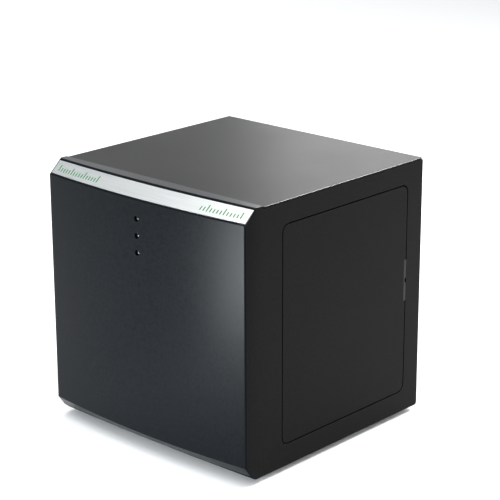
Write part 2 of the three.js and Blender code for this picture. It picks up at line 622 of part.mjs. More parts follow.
function powerSwitch() {
  const outline = roundedOutline(span(0, SWITCH.width), span(0, SWITCH.height), 1.5);
  const flange = plateY(outline, [0, 2]);
  const body = block(span(0, SWITCH.width - 4), [-SWITCH.depth, 1], span(0, SWITCH.height - 4));
  const well = block(span(0, ROCKER.width + 2 * GAP), [-ROCKER.pivotIn - 5.5, 3],
    span(0, 2 * ROCKER.halfLength + 2.8));
  place('switch_housing', flange.add(body).subtract(well), blackPlastic,
    [SWITCH.x, OUTSIDE_REAR, SWITCH.z]);
}

// The rocker lies with its upper end pressed in, and turns about the X axis through its own origin.
function powerRocker() {
  const { halfLength: h, end, middle, back } = ROCKER;
  const outline = polygon([[back, -4], [2, -h], [end, -h], [middle, 0], [end, h], [2, h], [back, 4]]);
  const geometry = toGeometry(plateX(outline, span(0, ROCKER.width)));
  const mesh = place('power_rocker', geometry, blackPlastic,
    [SWITCH.x, OUTSIDE_REAR - ROCKER.pivotIn, SWITCH.z]);
  mesh.rotation.x = THREE.MathUtils.degToRad(SWITCH.tilt);
}

function rearSockets() {
  const usbBody = block(span(0, USB.width), [-16, 3], span(0, USB.height));
  const usbMouth = block(span(0, USB.width - 1.6), [-8, 4], span(0, USB.height - 1.6));
  const usbTongue = block(span(0, 5.6), [-9, 1], span(0, 3.2));
  place('usb_socket', usbBody.subtract(usbMouth).add(usbTongue), bareSteel, [USB.x, REAR_FACE, USB_Z]);
  const flange = block(span(0, SERIAL.width), [GAP, GAP + 1], span(0, SERIAL.height));
  const shell = plateY(polygon([[-8.5, 4.1], [8.5, 4.1], [7, -4.1], [-7, -4.1]].reverse()),
    [-12, REAR_REACH + 0.5]);
  place('serial_connector', flange.add(shell), bareSteel, [SERIAL.x, REAR_FACE, SERIAL_Z]);
}

// ---------------------------------------------------------------- inside
function powerSupply() {
  const z = [INSIDE_BOTTOM, INSIDE_BOTTOM + SUPPLY.height];
  const shell = block(SUPPLY.x, SUPPLY.y, z);
  const slots = [];
  for (let i = 0; i < SUPPLY.slots; i += 1) {
    const y = span(SUPPLY.y[0] + 22 + i * SUPPLY.slotPitch, 4);
    slots.push(block([SUPPLY.x[0] + 12, SUPPLY.x[1] - 12], y, [z[1] - 3, z[1] + 1]));
  }
  const terminals = block([SUPPLY.x[0] + 8, SUPPLY.x[1] - 8], [SUPPLY.y[1] - 12, SUPPLY.y[1] + 1],
    [z[1] - 16, z[1] + 1]);
  place('power_supply', cut(shell, [...slots, terminals]), railAluminium);
}

const CARD_SOCKET = { width: 8, height: 11, y: [-30, 70], slotDepth: 8 };

function mainBoard() {
  const board = block(BOARD.x, BOARD.y, [BOARD.z, BOARD_TOP]);
  const sockets = [];
  const slots = [];
  for (let i = 0; i < CARDS.count; i += 1) {
    const x = cardX(i);
    const top = BOARD_TOP + CARD_SOCKET.height;
    sockets.push(block(span(x, CARD_SOCKET.width), CARD_SOCKET.y, [BOARD_TOP - 0.5, top]));
    slots.push(block(span(x, CARDS.thickness + 2 * GAP),
      [CARD_SOCKET.y[0] + 4, CARD_SOCKET.y[1] - 4], [top - CARD_SOCKET.slotDepth, top + 1]));
  }
  const header = block(span(0, RIBBON.width + 4), span(RIBBON.turnY, 6),
    [BOARD_TOP - 0.5, BOARD_TOP + RIBBON.header]);
  place('main_board', cut(joined([board, ...sockets, header]), slots), boardGreen);
}

function driveCards() {
  const tongueY = [CARD_SOCKET.y[0] + 4 + GAP, CARD_SOCKET.y[1] - 4 - GAP];
  const shoulder = BOARD_TOP + CARD_SOCKET.height + 2;
  for (let i = 0; i < CARDS.count; i += 1) {
    const panel = block(span(0, CARDS.thickness), CARDS.y, [shoulder, CARDS.top]);
    const tongue = block(span(0, CARDS.thickness), tongueY, [CARDS.bottom, shoulder + 1]);
    place(`drive_card_${i + 1}`, panel.add(tongue), boardGreen, [cardX(i), 0, 0]);
    place(`card_heatsink_${i + 1}`, heatsink(), railAluminium,
      [cardX(i) + CARDS.thickness / 2 + GAP, HEATSINK.y, HEATSINK.z]);
    const bracket = plateY(roundedOutline(span(0, BRACKET.width), span(0, BRACKET.height), 1.5),
      [0, BRACKET.thickness]);
    const window = plateY(dOutline(CONNECTOR_SPANS[i] + 2 * GAP, 8.3 + 2 * GAP, 1.5), [-1, 3]);
    place(`card_bracket_${i + 1}`, bracket.subtract(window), bareSteel,
      [cardX(i), OUTSIDE_REAR, CARD_CONNECTOR_Z]);
    place(`drive_connector_${i + 1}`, driveConnector(CONNECTOR_SPANS[i]), bareSteel,
      [cardX(i), OUTSIDE_REAR, CARD_CONNECTOR_Z]);
  }
}

// A finned block: an upright comb in plan.
function heatsink() {
  const { fins, pitch, fin, base, depth, height } = HEATSINK;
  const outline = [[0, 0]];
  for (let i = 0; i < fins; i += 1) {
    const y = i * pitch;
    outline.push([depth, y], [depth, y + fin]);
    if (i < fins - 1) outline.push([base, y + fin], [base, y + pitch]);
  }
  outline.push([0, (fins - 1) * pitch + fin]);
  return plateZ(polygon(outline), span(0, height));
}

// A D connector: block behind a screw flange, with its shell standing out to the rear.
function driveConnector(length) {
  const body = block(span(0, 10), [-11, -1], span(0, length + 2));
  const flange = block(span(0, 12.2), [-1 - GAP, -GAP], span(0, length + 14));
  const shell = plateY(dOutline(length, 8.3, 1.5), [-2, REAR_REACH + 0.2]);
  return joined([body, flange, shell]);
}

// A flat cable of even thickness along a line of corners, drawn in (Y, Z).
function ribbonOutline(corners, thickness) {
  const offset = (i, side) => {
    const before = corners[Math.max(i - 1, 0)];
    const after = corners[Math.min(i + 1, corners.length - 1)];
    const length = Math.hypot(after[0] - before[0], after[1] - before[1]);
    const [ny, nz] = [-(after[1] - before[1]) / length, (after[0] - before[0]) / length];
    return [corners[i][0] + side * ny * thickness / 2, corners[i][1] + side * nz * thickness / 2];
  };
  const there = corners.map((_, i) => offset(i, -1));
  const back = corners.map((_, i) => offset(i, 1)).reverse();
  return polygon([...there, ...back]);
}

function indicatorRibbon() {
  const backOfBoard = LAMP_BOARD_Y + LAMP_BOARD.thickness + GAP;
  const { turnY } = RIBBON;
  const radius = 6;
  const corners = [[backOfBoard, RIBBON.z]];
  for (let i = 0; i <= 4; i += 1) {
    const angle = i / 4 * Math.PI / 2;
    corners.push([turnY - radius + radius * Math.sin(angle), RIBBON.z - radius + radius * Math.cos(angle)]);
  }
  corners.push([turnY, BOARD_TOP + RIBBON.header + GAP]);
  const ribbon = plateX(ribbonOutline(corners, RIBBON.thickness), span(0, RIBBON.width));
  place('indicator_ribbon', ribbon, cableGrey);
}

// A round lead along a smooth route.
function lead(points, radius, steps) {
  const route = new THREE.CatmullRomCurve3(points.map(([x, y, z]) => new THREE.Vector3(x, y, z)));
  const section = new THREE.Shape();
  section.absarc(0, 0, radius, 0, 2 * Math.PI);
  const options = { steps, extrudePath: route, bevelEnabled: false, curveSegments: 4 };
  return toSolid(new THREE.ExtrudeGeometry(section, options));
}

function harnesses() {
  const supplyTop = INSIDE_BOTTOM + SUPPLY.height;
  const mains = [
    [INLET.x, OUTSIDE_REAR - INLET.depth - 8, INLET.z + 16],
    [INLET.x + 6, OUTSIDE_REAR - INLET.depth - 16, INLET.z + 26],
    [SWITCH.x + 6, OUTSIDE_REAR - INLET.depth - 18, SWITCH.z - 14],
    [SWITCH.x, OUTSIDE_REAR - SWITCH.depth - 3, SWITCH.z],
  ];
  place('mains_lead', lead(mains, 2.2, 16), cableBlack);
  const supply = [
    [SUPPLY.x[1] - 20, SUPPLY.y[1] - 6, supplyTop - 12],
    [SUPPLY.x[1] - 18, SUPPLY.y[1] - 6, supplyTop + 6],
    [SUPPLY.x[1] + 6, SUPPLY.y[1] - 10, supplyTop + 8],
    [SUPPLY.x[1] + 18, SUPPLY.y[1] - 14, 44],
    [SUPPLY.x[1] + 20, SUPPLY.y[1] - 14, BOARD_TOP + 3],
  ];
  place('supply_lead', lead(supply, 2.6, 24), cableBlack);
}

frontCap();
trimStrip();
lamps();
frontPlate();
basePlate();
topCover();
leftPanel();
rightPanel();
accessDoor();
fingerPull();
hingeBracket('hinge_bracket_upper', 1);
hingeBracket('hinge_bracket_lower', -1);
hingePin('hinge_pin_upper', 1);
hingePin('hinge_pin_lower', -1);
doorCatch();
rails();
feet();
rearPanel();
fanFrame();
fanRotor();
fanGuard();
mainsInlet();
inletPins();
fuseDrawer();
powerSwitch();
powerRocker();
rearSockets();
powerSupply();
mainBoard();
driveCards();
indicatorRibbon();
harnesses();

export default controller;
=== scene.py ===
"""Looks of the bench-top motion controller: camera, light, materials and the pieces that the CAD leaves out.

Metres, in the CAD's own frame: +X right, -Y out of the front face, +Z up, feet on z = 0.
"""
import json
import math
import random

import bmesh
import bpy
from mathutils import Matrix, Vector


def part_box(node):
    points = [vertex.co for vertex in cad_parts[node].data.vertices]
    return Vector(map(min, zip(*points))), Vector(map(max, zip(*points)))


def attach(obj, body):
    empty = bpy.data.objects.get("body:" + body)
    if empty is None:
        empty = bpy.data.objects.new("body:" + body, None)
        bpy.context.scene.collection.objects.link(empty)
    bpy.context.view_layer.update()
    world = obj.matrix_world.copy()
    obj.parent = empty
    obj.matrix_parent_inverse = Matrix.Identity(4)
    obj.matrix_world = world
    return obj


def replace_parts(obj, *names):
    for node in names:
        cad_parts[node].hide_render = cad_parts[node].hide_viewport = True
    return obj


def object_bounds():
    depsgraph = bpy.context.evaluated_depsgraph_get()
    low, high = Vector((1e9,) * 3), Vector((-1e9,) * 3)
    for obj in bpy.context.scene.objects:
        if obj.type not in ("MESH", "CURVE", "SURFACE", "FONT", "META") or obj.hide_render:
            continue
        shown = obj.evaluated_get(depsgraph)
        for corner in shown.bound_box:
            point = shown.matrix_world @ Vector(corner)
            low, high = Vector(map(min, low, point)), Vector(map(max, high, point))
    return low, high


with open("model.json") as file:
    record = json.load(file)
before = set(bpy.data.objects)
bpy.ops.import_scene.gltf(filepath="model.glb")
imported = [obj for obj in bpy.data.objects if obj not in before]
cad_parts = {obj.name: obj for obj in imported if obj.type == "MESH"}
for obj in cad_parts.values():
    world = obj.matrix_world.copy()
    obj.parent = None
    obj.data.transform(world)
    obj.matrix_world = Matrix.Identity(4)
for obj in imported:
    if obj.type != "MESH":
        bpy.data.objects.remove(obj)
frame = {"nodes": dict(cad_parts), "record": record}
cad_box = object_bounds()
random.seed(7)

MM = 0.001
CASE = "case"
looks = {}  # every material by its name

# The front cap's shape, as in the CAD: chamfers and how far each level is bowed forwards.
CAP_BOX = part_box("front_bezel")
HALF_WIDTH = CAP_BOX[1][0]
CAP_BACK = CAP_BOX[1][1]
CAP_BOTTOM, CAP_TOP = CAP_BOX[0][2], CAP_BOX[1][2]
FACE_BOW, LIP_BOW, SILL_BOW = 7 * MM, 4 * MM, 2.3 * MM
FACE_SIDE_Y = CAP_BOX[0][1] + FACE_BOW
TOP_RUN, TOP_RISE = 13.2 * MM, 12 * MM
BASE_RUN, BASE_RISE = 11.4 * MM, 13.1 * MM
CAP_WALL = 3 * MM
# Only in this model: the bottom chamfer swells at this share of its height, and the side edges are rolled.
SILL_SHARE, SILL_SWELL = 0.34, 1.4 * MM
ROLL = 1.5 * MM
# The trim and its recess in the top chamfer: shares of the way up it, margins at its ends, and depths.
RECESS_UP, TRIM_UP, TICK_LOW, TICK_HIGH, LONG_TICK_HIGH = (0.095, 0.92), (0.131, 0.884), 0.32, 0.52, 0.66
RECESS_MARGIN, TRIM_MARGIN, TICK_MARGIN = 0.8 * MM, 1.5 * MM, 7 * MM
RECESS_DEPTH, TRIM_DEPTH, TICK_DEPTH = (-2 * MM, 1.8 * MM), (0.15 * MM, 1.2 * MM), (0.09 * MM, 0.2 * MM)
TICK_PITCH, TICK_HALF_WIDTH = 3.4 * MM, 0.55 * MM
LAMPS = ["indicator_lamp_1", "indicator_lamp_2", "indicator_lamp_3"]
LAMP_HOLE = 2.6 * MM

# How far the outer sheets' edges are softened.
SHEET_EDGES = {"top_cover": 0.7 * MM, "access_door": 0.3 * MM, "right_panel": 0.3 * MM,
               "rear_panel": 0.2 * MM}

UP, DOWN, LEFT, FORWARDS = (0, 0, 1), (0, 0, -1), (-1, 0, 0), (0, -1, 0)
REAR_OUT = (0, 1, 0)
REAR_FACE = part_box("rear_panel")[1][1]


def middle(node):
    low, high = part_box(node)
    return Vector([(a + b) / 2 for a, b in zip(low, high)])


def in_mm(*points):
    """Points written in millimetres, as metres."""
    return [tuple(c * MM for c in point) for point in points]


def facing(place, outwards):
    """A place whose Z points outwards. Facing the rear, its Y points up and its X to -X."""
    return Matrix.Translation(place) @ Vector(outwards).to_track_quat("Z", "Y").to_matrix().to_4x4()


def linked(name, data):
    made = bpy.data.objects.new(name, data)
    bpy.context.scene.collection.objects.link(made)
    return made


# ---- camera, light and floor
def add_camera():
    """The photograph's viewpoint: a long lens, a little above and to the right of the front."""
    azimuth, elevation, roll = math.radians(42.738), math.radians(17.826), math.radians(-0.175)
    distance, lens = 1.5205, 124.81
    off_centre = Vector((0.0017, 0.0155, 0.0319))
    low, high = cad_box
    aim = Vector([(a + b) / 2 for a, b in zip(low, high)]) + off_centre
    back = Vector((math.sin(azimuth) * math.cos(elevation), -math.cos(azimuth) * math.cos(elevation),
                   math.sin(elevation)))
    camera = linked("camera", bpy.data.cameras.new("camera"))
    camera.data.lens = lens
    camera.data.sensor_width = 36
    camera.data.clip_end = 30
    camera.matrix_world = facing(aim + back * distance, back) @ Matrix.Rotation(roll, 4, "Z")
    bpy.context.scene.camera = camera


def softbox(name, place, aim, size, power, colour=(1, 1, 1)):
    lamp = bpy.data.lights.new(name, "AREA")
    lamp.shape = "RECTANGLE"
    lamp.size, lamp.size_y = size
    lamp.energy = power
    lamp.color = colour
    light = linked(name, lamp)
    light.matrix_world = facing(place, Vector(place) - Vector(aim))
    light.visible_camera = False


def add_lights():
    world = bpy.data.worlds.new("studio")
    bpy.context.scene.world = world
    world.use_nodes = True
    sky = world.node_tree.nodes["Background"].inputs
    sky["Color"].default_value = (0.93, 0.97, 1, 1)
    sky["Strength"].default_value = 0.42
    # The floor's light; its edge, mirrored in the trim strip, makes the strip's gradient.
    softbox("overhead", (0.05, -0.3, 2.6), (0.05, -0.3, 0), (3, 3), 72)
    # The top panel's gradient, darker on the left and paler on the right.
    softbox("back_right", (-0.36, 0.9, 0.52), (0.05, 0.05, 0.235), (0.66, 0.4), 4)
    # The bright line on the top panel's right edge.
    softbox("back_high", (0.45, 1.05, 1.2), (0.1, 0.1, 0.23), (0.4, 0.4), 17)
    # The far floor that the top panel mirrors, and the floor in front.
    softbox("left_wash", (-2.2, 1.5, 0.85), (0, 0, 0.12), (2.2, 1), 8.5)
    softbox("camera_side", (1.3, -1.4, 1.5), (0, 0, 0), (1, 1), 15)
    # The sheen on the right of the bowed front.
    softbox("front_low", (-0.03, -0.42, 0.085), (0.105, -0.112, 0.14), (0.1, 0.13), 1.4, (0.9, 0.96, 1))


def add_floor():
    bpy.ops.mesh.primitive_grid_add(x_subdivisions=8, y_subdivisions=8, size=16)
    floor = bpy.context.object
    floor.name = "floor"
    look = Recipe("floor_paper")
    tone = look.ramp(look.noise(0.8, 2), (0.3, 0.93), (0.7, 0.96))
    look.to_shader("Base Color", tone)
    look.set(Roughness=0.9, Specular_IOR_Level=0.1)
    floor.data.materials.append(look.material)


# ---- material recipes
class Recipe:
    """One procedural material, built up by short calls. Patterns use object coordinates, in metres."""

    def __init__(self, name):
        looks[name] = self.material = bpy.data.materials.new(name)
        self.material.use_nodes = True
        self.tree = self.material.node_tree
        self.tree.nodes.clear()
        self.shader = self.add("ShaderNodeBsdfPrincipled")
        output = self.add("ShaderNodeOutputMaterial")
        self.tree.links.new(self.shader.outputs["BSDF"], output.inputs["Surface"])
        self.coords = self.add("ShaderNodeTexCoord").outputs["Object"]

    def add(self, kind, **settings):
        node = self.tree.nodes.new(kind)
        for key, value in settings.items():
            setattr(node, key, value)
        return node

    def feed(self, target, value):
        if isinstance(value, bpy.types.NodeSocket):
            self.tree.links.new(value, target)
        else:
            target.default_value = value

    def set(self, **values):
        for key, value in values.items():
            self.shader.inputs[key.replace("_", " ")].default_value = value

    def to_shader(self, key, source):
        self.tree.links.new(source, self.shader.inputs[key])

    def scaled(self, scale):
        """Coordinates stretched by three factors, for grain that runs one way."""
        node = self.add("ShaderNodeMapping")
        self.feed(node.inputs["Vector"], self.coords)
        node.inputs["Scale"].default_value = scale
        return node.outputs["Vector"]

    def noise(self, scale, detail=3, roughness=0.5, coords=None):
        node = self.add("ShaderNodeTexNoise")
        self.feed(node.inputs["Vector"], coords or self.coords)
        node.inputs["Scale"].default_value = scale
        node.inputs["Detail"].default_value = detail
        node.inputs["Roughness"].default_value = roughness
        return node.outputs["Fac"]

    def cells(self, scale):
        node = self.add("ShaderNodeTexVoronoi")
        self.feed(node.inputs["Vector"], self.coords)
        node.inputs["Scale"].default_value = scale
        return node.outputs["Distance"]

    def math(self, operation, first, second):
        node = self.add("ShaderNodeMath", operation=operation)
        self.feed(node.inputs[0], first)
        self.feed(node.inputs[1], second)
        return node.outputs[0]

    def ramp(self, source, *stops):
        node = self.add("ShaderNodeValToRGB")
        self.feed(node.inputs["Fac"], source)
        elements = node.color_ramp.elements
        while len(elements) < len(stops):
            elements.new(0.5)
        for element, (position, colour) in zip(elements, stops):
            element.position = position
            element.color = (*colour, 1) if isinstance(colour, tuple) else (colour, colour, colour, 1)
        return node.outputs["Color"]

    def mix(self, share, first, second):
        node = self.add("ShaderNodeMix", data_type="RGBA")
        self.feed(node.inputs["Factor"], share)
        for socket, value in ((node.inputs[6], first), (node.inputs[7], second)):
            self.feed(socket, (*value, 1) if isinstance(value, tuple) else value)
        return node.outputs[2]

    def shade(self, pattern, dark, light, smooth, rough):
        """Base colour and roughness that both follow one pattern."""
        self.to_shader("Base Color", self.ramp(pattern, (0.3, dark), (0.7, light)))
        self.to_shader("Roughness", self.ramp(pattern, (0.3, smooth), (0.7, rough)))

    def bump(self, height, depth):
        node = self.add("ShaderNodeBump")
        self.feed(node.inputs["Height"], height)
        node.inputs["Distance"].default_value = depth
        node.inputs["Strength"].default_value = 1
        self.to_shader("Normal", node.outputs["Normal"])


def worn_edges(look, reach=0.5 * MM):
    """1 along sharp edges and 0 on flats, from the difference between the true and a rounded normal."""
    rounded = look.add("ShaderNodeBevel", samples=4)
    rounded.inputs["Radius"].default_value = reach
    straight = look.add("ShaderNodeNewGeometry")
    same = look.add("ShaderNodeVectorMath", operation="DOT_PRODUCT")
    look.feed(same.inputs[0], rounded.outputs["Normal"])
    look.feed(same.inputs[1], straight.outputs["Normal"])
    return look.ramp(same.outputs["Value"], (0.8, 1.0), (0.99, 0.0))


def textured_black(name, base, worn, grain, roughness, specular, depth):
    """Moulded or powder-coated black: fine grain, mottled gloss and slightly rubbed edges."""
    look = Recipe(name)
    fine = look.noise(grain, 2, 0.6)
    mottle = look.noise(grain * 0.3, 4, 0.65)
    clouds = look.noise(14, 3)
    dark = tuple(c * 0.6 for c in base)
    light = tuple(c * 1.5 for c in base)
    skin = look.mix(look.ramp(mottle, (0.35, 0.0), (0.65, 1.0)), dark, light)
    look.to_shader("Base Color", look.mix(worn_edges(look), skin, worn))
    gloss = look.math("ADD", look.math("MULTIPLY", mottle, 0.08), look.math("MULTIPLY", clouds, 0.06))
    usual_gloss = 0.07  # both patterns average a half
    look.to_shader("Roughness", look.math("ADD", gloss, roughness - usual_gloss))
    look.set(Specular_IOR_Level=specular)
    look.bump(look.math("ADD", fine, look.math("MULTIPLY", mottle, 1.6)), depth)


def grained(name, grain, dark, light, gloss, depth=0.0, stretch=None, **settings):
    """A plain finish: one noise (scale, detail, roughness) drives its colour, its gloss and its relief."""
    look = Recipe(name)
    pattern = look.noise(*grain, coords=look.scaled(stretch) if stretch else None)
    look.shade(pattern, dark, light, *gloss)
    if depth:
        look.bump(pattern, depth)
    look.set(**settings)


def zinc_steel():
    look = Recipe("bare_steel")
    spangle = look.cells(160)
    rub = look.noise(40, 4, 0.6, look.scaled((1, 6, 1)))
    tint = look.ramp(spangle, (0.1, (0.46, 0.47, 0.47)), (0.5, (0.54, 0.54, 0.52)), (0.9, (0.6, 0.61, 0.62)))
    look.to_shader("Base Color", look.mix(worn_edges(look), tint, (0.72, 0.73, 0.74)))
    look.to_shader("Roughness", look.ramp(rub, (0.3, 0.28), (0.7, 0.42)))
    look.set(Metallic=0.9)
    look.bump(rub, 0.01 * MM)


def grained_rubber():
    look = Recipe("foot_rubber")
    grain = look.noise(900, 3, 0.6)
    dust = look.noise(60, 4)
    look.to_shader("Base Color", look.ramp(dust, (0.35, 0.015), (0.75, (0.045, 0.044, 0.042))))
    look.to_shader("Roughness", look.ramp(grain, (0.3, 0.75), (0.7, 0.9)))
    look.bump(grain, 0.04 * MM)


def circuit_board():
    """Green solder mask over copper: square-cornered tracks show lighter than the bare laminate."""
    look = Recipe("board_green")
    snapped = look.add("ShaderNodeVectorMath", operation="SNAP")
    look.feed(snapped.inputs[0], look.coords)
    snapped.inputs[1].default_value = [1.2 * MM] * 3
    along = look.noise(110, 1, 0.5, snapped.outputs["Vector"])
    tracks = look.ramp(along, (0.47, 0.0), (0.475, 1.0), (0.53, 1.0), (0.535, 0.0))
    weave = look.noise(700, 2)
    laminate = look.ramp(weave, (0.3, (0.008, 0.07, 0.028)), (0.7, (0.012, 0.09, 0.036)))
    look.to_shader("Base Color", look.mix(tracks, laminate, (0.03, 0.17, 0.06)))
    look.to_shader("Roughness", look.ramp(weave, (0.3, 0.28), (0.7, 0.36)))
    look.bump(tracks, 0.02 * MM)


def cable_skin(name, dark, light, ribs=None):
    """Cable sheath. With ribs, a flat cable's conductors run side by side across X."""
    look = Recipe(name)
    scuffs = look.noise(500, 3)
    colour = look.ramp(scuffs, (0.3, dark), (0.7, light))
    if ribs:
        wave = look.add("ShaderNodeTexWave", bands_direction="X")
        look.feed(wave.inputs["Vector"], look.coords)
        wave.inputs["Scale"].default_value = 0.314 / ribs
        # Painted shade: the colour follows the ribs' wave, darker in the grooves between the conductors and
        # lighter on their crests.
        colour = look.mix(wave.outputs["Fac"], dark, light)
        look.bump(wave.outputs["Fac"], 0.3 * MM)
    else:
        look.bump(scuffs, 0.02 * MM)
    look.to_shader("Base Color", colour)
    look.to_shader("Roughness", look.ramp(scuffs, (0.3, 0.42), (0.7, 0.6)))


def make_looks():
    # The cap's blue tint is painted reflection of cool surroundings; its flat sides, the same plastic, take
    # the neutral panel paint.
    textured_black("cap_plastic", (0.0026, 0.004, 0.0054), (0.02, 0.022, 0.025),
                   grain=1300, roughness=0.3, specular=0.088, depth=0.024 * MM)
    textured_black("panel_paint", (0.0035, 0.0035, 0.0034), (0.02, 0.02, 0.02),
                   grain=1900, roughness=0.4, specular=0.058, depth=0.026 * MM)
    textured_black("black_plastic", (0.009, 0.0095, 0.01), (0.03, 0.03, 0.03),
                   grain=2600, roughness=0.42, specular=0.22, depth=0.012 * MM)
    # The cap's rolled edges and its sill's underside: painted shade, the same black without the grain's
    # sheen, so they read as dark lines.
    grained("painted_shade_black", (1500, 2, 0.6), (0.004, 0.005, 0.007), (0.007, 0.008, 0.011), (0.6, 0.7),
            0.02 * MM, Specular_IOR_Level=0.02)
    # Powder coat drawn thin and smooth over a folded edge, so that the edge catches the light.
    grained("smooth_paint", (900, 2, 0.6), 0.006, 0.012, (0.2, 0.26), 0.003 * MM, Specular_IOR_Level=1)
    # Satin metal with its grain along X, and bare metal with die lines along Y.
    grained("trim_silver", (60, 3, 0.6), (0.8, 0.82, 0.82), (0.86, 0.88, 0.87), (0.3, 0.38),
            0.004 * MM, (0.3, 14, 14), Metallic=0.85)
    grained("rail_aluminium", (120, 3, 0.6), (0.58, 0.59, 0.6), (0.72, 0.73, 0.74), (0.3, 0.45),
            0.01 * MM, (20, 0.4, 20), Metallic=0.95)
    grained("pin_brass", (300, 3), (0.6, 0.48, 0.24), (0.72, 0.6, 0.34), (0.18, 0.32), Metallic=1)
    zinc_steel()
    grained("lamp_plastic", (400, 2), (0.012, 0.014, 0.012), (0.03, 0.036, 0.03), (0.06, 0.12),
            Coat_Weight=0.6, Coat_Roughness=0.03)
    grained_rubber()
    circuit_board()
    cable_skin("cable_grey", (0.22, 0.23, 0.24), (0.42, 0.43, 0.45), ribs=1.27 * MM)
    cable_skin("cable_black", 0.012, 0.03)
    cable_skin("wire_red", (0.3, 0.012, 0.01), (0.45, 0.03, 0.02))
    cable_skin("wire_blue", (0.01, 0.06, 0.3), (0.02, 0.1, 0.42))
    cable_skin("wire_brown", (0.09, 0.035, 0.015), (0.14, 0.06, 0.03))
    cable_skin("wire_green", (0.03, 0.22, 0.03), (0.3, 0.42, 0.03))
    # Resin and shrunk sleeves on small electronic parts, and printed inks.
    grained("ceramic_tan", (900, 3), (0.3, 0.2, 0.11), (0.42, 0.3, 0.18), (0.3, 0.42), 0.01 * MM)
    grained("sleeve_blue", (900, 3), (0.01, 0.03, 0.12), (0.02, 0.05, 0.18), (0.3, 0.42), 0.01 * MM)
    grained("ink_green", (2500, 2), (0.02, 0.2, 0.05), (0.023, 0.23, 0.0575), (0.45, 0.55))
    grained("ink_white", (2500, 2), (0.6, 0.6, 0.58), (0.69, 0.69, 0.667), (0.45, 0.55))


def dress_cad_nodes():
    """Finishes by record slot. The CAD's faces arrive unjoined, so the outer sheets' are joined and then
    their edges softened. The top's edges are plain facets in a smoother paint."""
    for part in frame["record"]["subparts"]:
        name = part["node"]
        node = frame["nodes"][name]
        node.data.materials.clear()
        node.data.materials.append(looks[part["material_slot"]])
        if name not in SHEET_EDGES:
            continue
        node.modifiers.new("joined_faces", "WELD").merge_threshold = 0.01 * MM
        edges = soften(node, SHEET_EDGES[name])
        if name == "top_cover":
            node.data.materials.append(looks["smooth_paint"])
            edges.material, edges.segments = 1, 1


# ---- mesh helpers
def mesh_of(bm, name):
    mesh = bpy.data.meshes.new(name)
    bmesh.ops.recalc_face_normals(bm, faces=bm.faces)
    bm.to_mesh(mesh)
    bm.free()
    return mesh


def piece(name, mesh_or_bm, look, body=CASE, smooth=None, bevel=None):
    """A new piece: mesh, finish, softened edges, and the body that it rides on."""
    mesh = mesh_of(mesh_or_bm, name) if isinstance(mesh_or_bm, bmesh.types.BMesh) else mesh_or_bm
    mesh.materials.clear()
    mesh.materials.append(looks[look])
    made = linked(name, mesh)
    if smooth is not None:
        mesh.shade_smooth()
        mesh.set_sharp_from_angle(angle=math.radians(smooth))
    if bevel:
        soften(made, bevel)
    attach(made, body)
    return made


def soften(made, width, segments=2, angle=35):
    modifier = made.modifiers.new("edges", "BEVEL")
    modifier.width = width
    modifier.segments = segments
    modifier.limit_method = "ANGLE"
    modifier.angle_limit = math.radians(angle)
    return modifier


def band(bm, first, second):
    """A closed band of faces between two rings of as many vertices."""
    for i in range(len(first)):
        j = (i + 1) % len(first)
        bm.faces.new((first[i], first[j], second[j], second[i]))


def add_box(bm, low, high, place=Matrix()):
    for vertex in bmesh.ops.create_cube(bm, size=1)["verts"]:
        vertex.co = place @ Vector([l + (c + 0.5) * (h - l) for l, c, h in zip(low, vertex.co, high)])


def add_rod(bm, start, end, radius, sides=24, end_radius=None):
    """A round bar, tapered when it has an end radius."""
    start, end = Vector(start), Vector(end)
    span = end - start
    bmesh.ops.create_cone(bm, cap_ends=True, segments=sides, radius1=radius,
                          radius2=radius if end_radius is None else end_radius, depth=span.length,
                          matrix=facing((start + end) / 2, span))


def add_lathe(bm, profile, place, sides=40, closed=False):
    """A turned shape round place's Z. The profile lists (radius, height) or (radius, height, lobes), where
    lobes press four waves into that ring. It runs from axis to axis, or round a loop when closed."""
    rings = []
    for radius, height, *lobes in profile:
        if radius < 1e-7:
            rings.append([bm.verts.new(place @ Vector((0, 0, height)))])
            continue
        ring = []
        for angle in (2 * math.pi * i / sides for i in range(sides)):
            reach = radius * (1 + (lobes[0] if lobes else 0) * math.cos(4 * angle))
            spot = Vector((reach * math.cos(angle), reach * math.sin(angle), height))
            ring.append(bm.verts.new(place @ spot))
        rings.append(ring)
    pairs = list(zip(rings, rings[1:])) + ([(rings[-1], rings[0])] if closed else [])
    for lower, upper in pairs:
        for i in range(sides):
            j = (i + 1) % sides
            corners = [lower[i % len(lower)], lower[j % len(lower)],
                       upper[j % len(upper)], upper[i % len(upper)]]
            bm.faces.new(list(dict.fromkeys(corners)))  # a point on the axis counts once


def add_screw(bm, place, outwards, radius=2.7 * MM, height=1.7 * MM):
    """A pan-head screw with a cross recess, its underside at the place."""
    sink, cross = height * 0.4, 0.5
    profile = [(0, 0), (radius, 0), (radius, height * 0.45), (radius * 0.86, height * 0.82),
               (radius * 0.6, height), (radius * 0.34, height, cross), (radius * 0.26, sink, cross),
               (0, sink)]
    add_lathe(bm, profile, facing(place, outwards), 24)


def add_tube(bm, points, radius, sides=10):
    """A round tube along a line of points, with flat ends."""
    points = [Vector(p) for p in points]
    across = (points[1] - points[0]).orthogonal().normalized()
    rings = []
    for i, point in enumerate(points):
        along = (points[min(i + 1, len(points) - 1)] - points[max(i - 1, 0)]).normalized()
        across = (across - along * across.dot(along)).normalized()
        other = along.cross(across)
        rings.append([bm.verts.new(point + radius * (across * math.cos(a) + other * math.sin(a)))
                      for a in (2 * math.pi * k / sides for k in range(sides))])
    for lower, upper in zip(rings, rings[1:]):
        band(bm, lower, upper)
    bm.faces.new(rings[0])
    bm.faces.new(rings[-1])


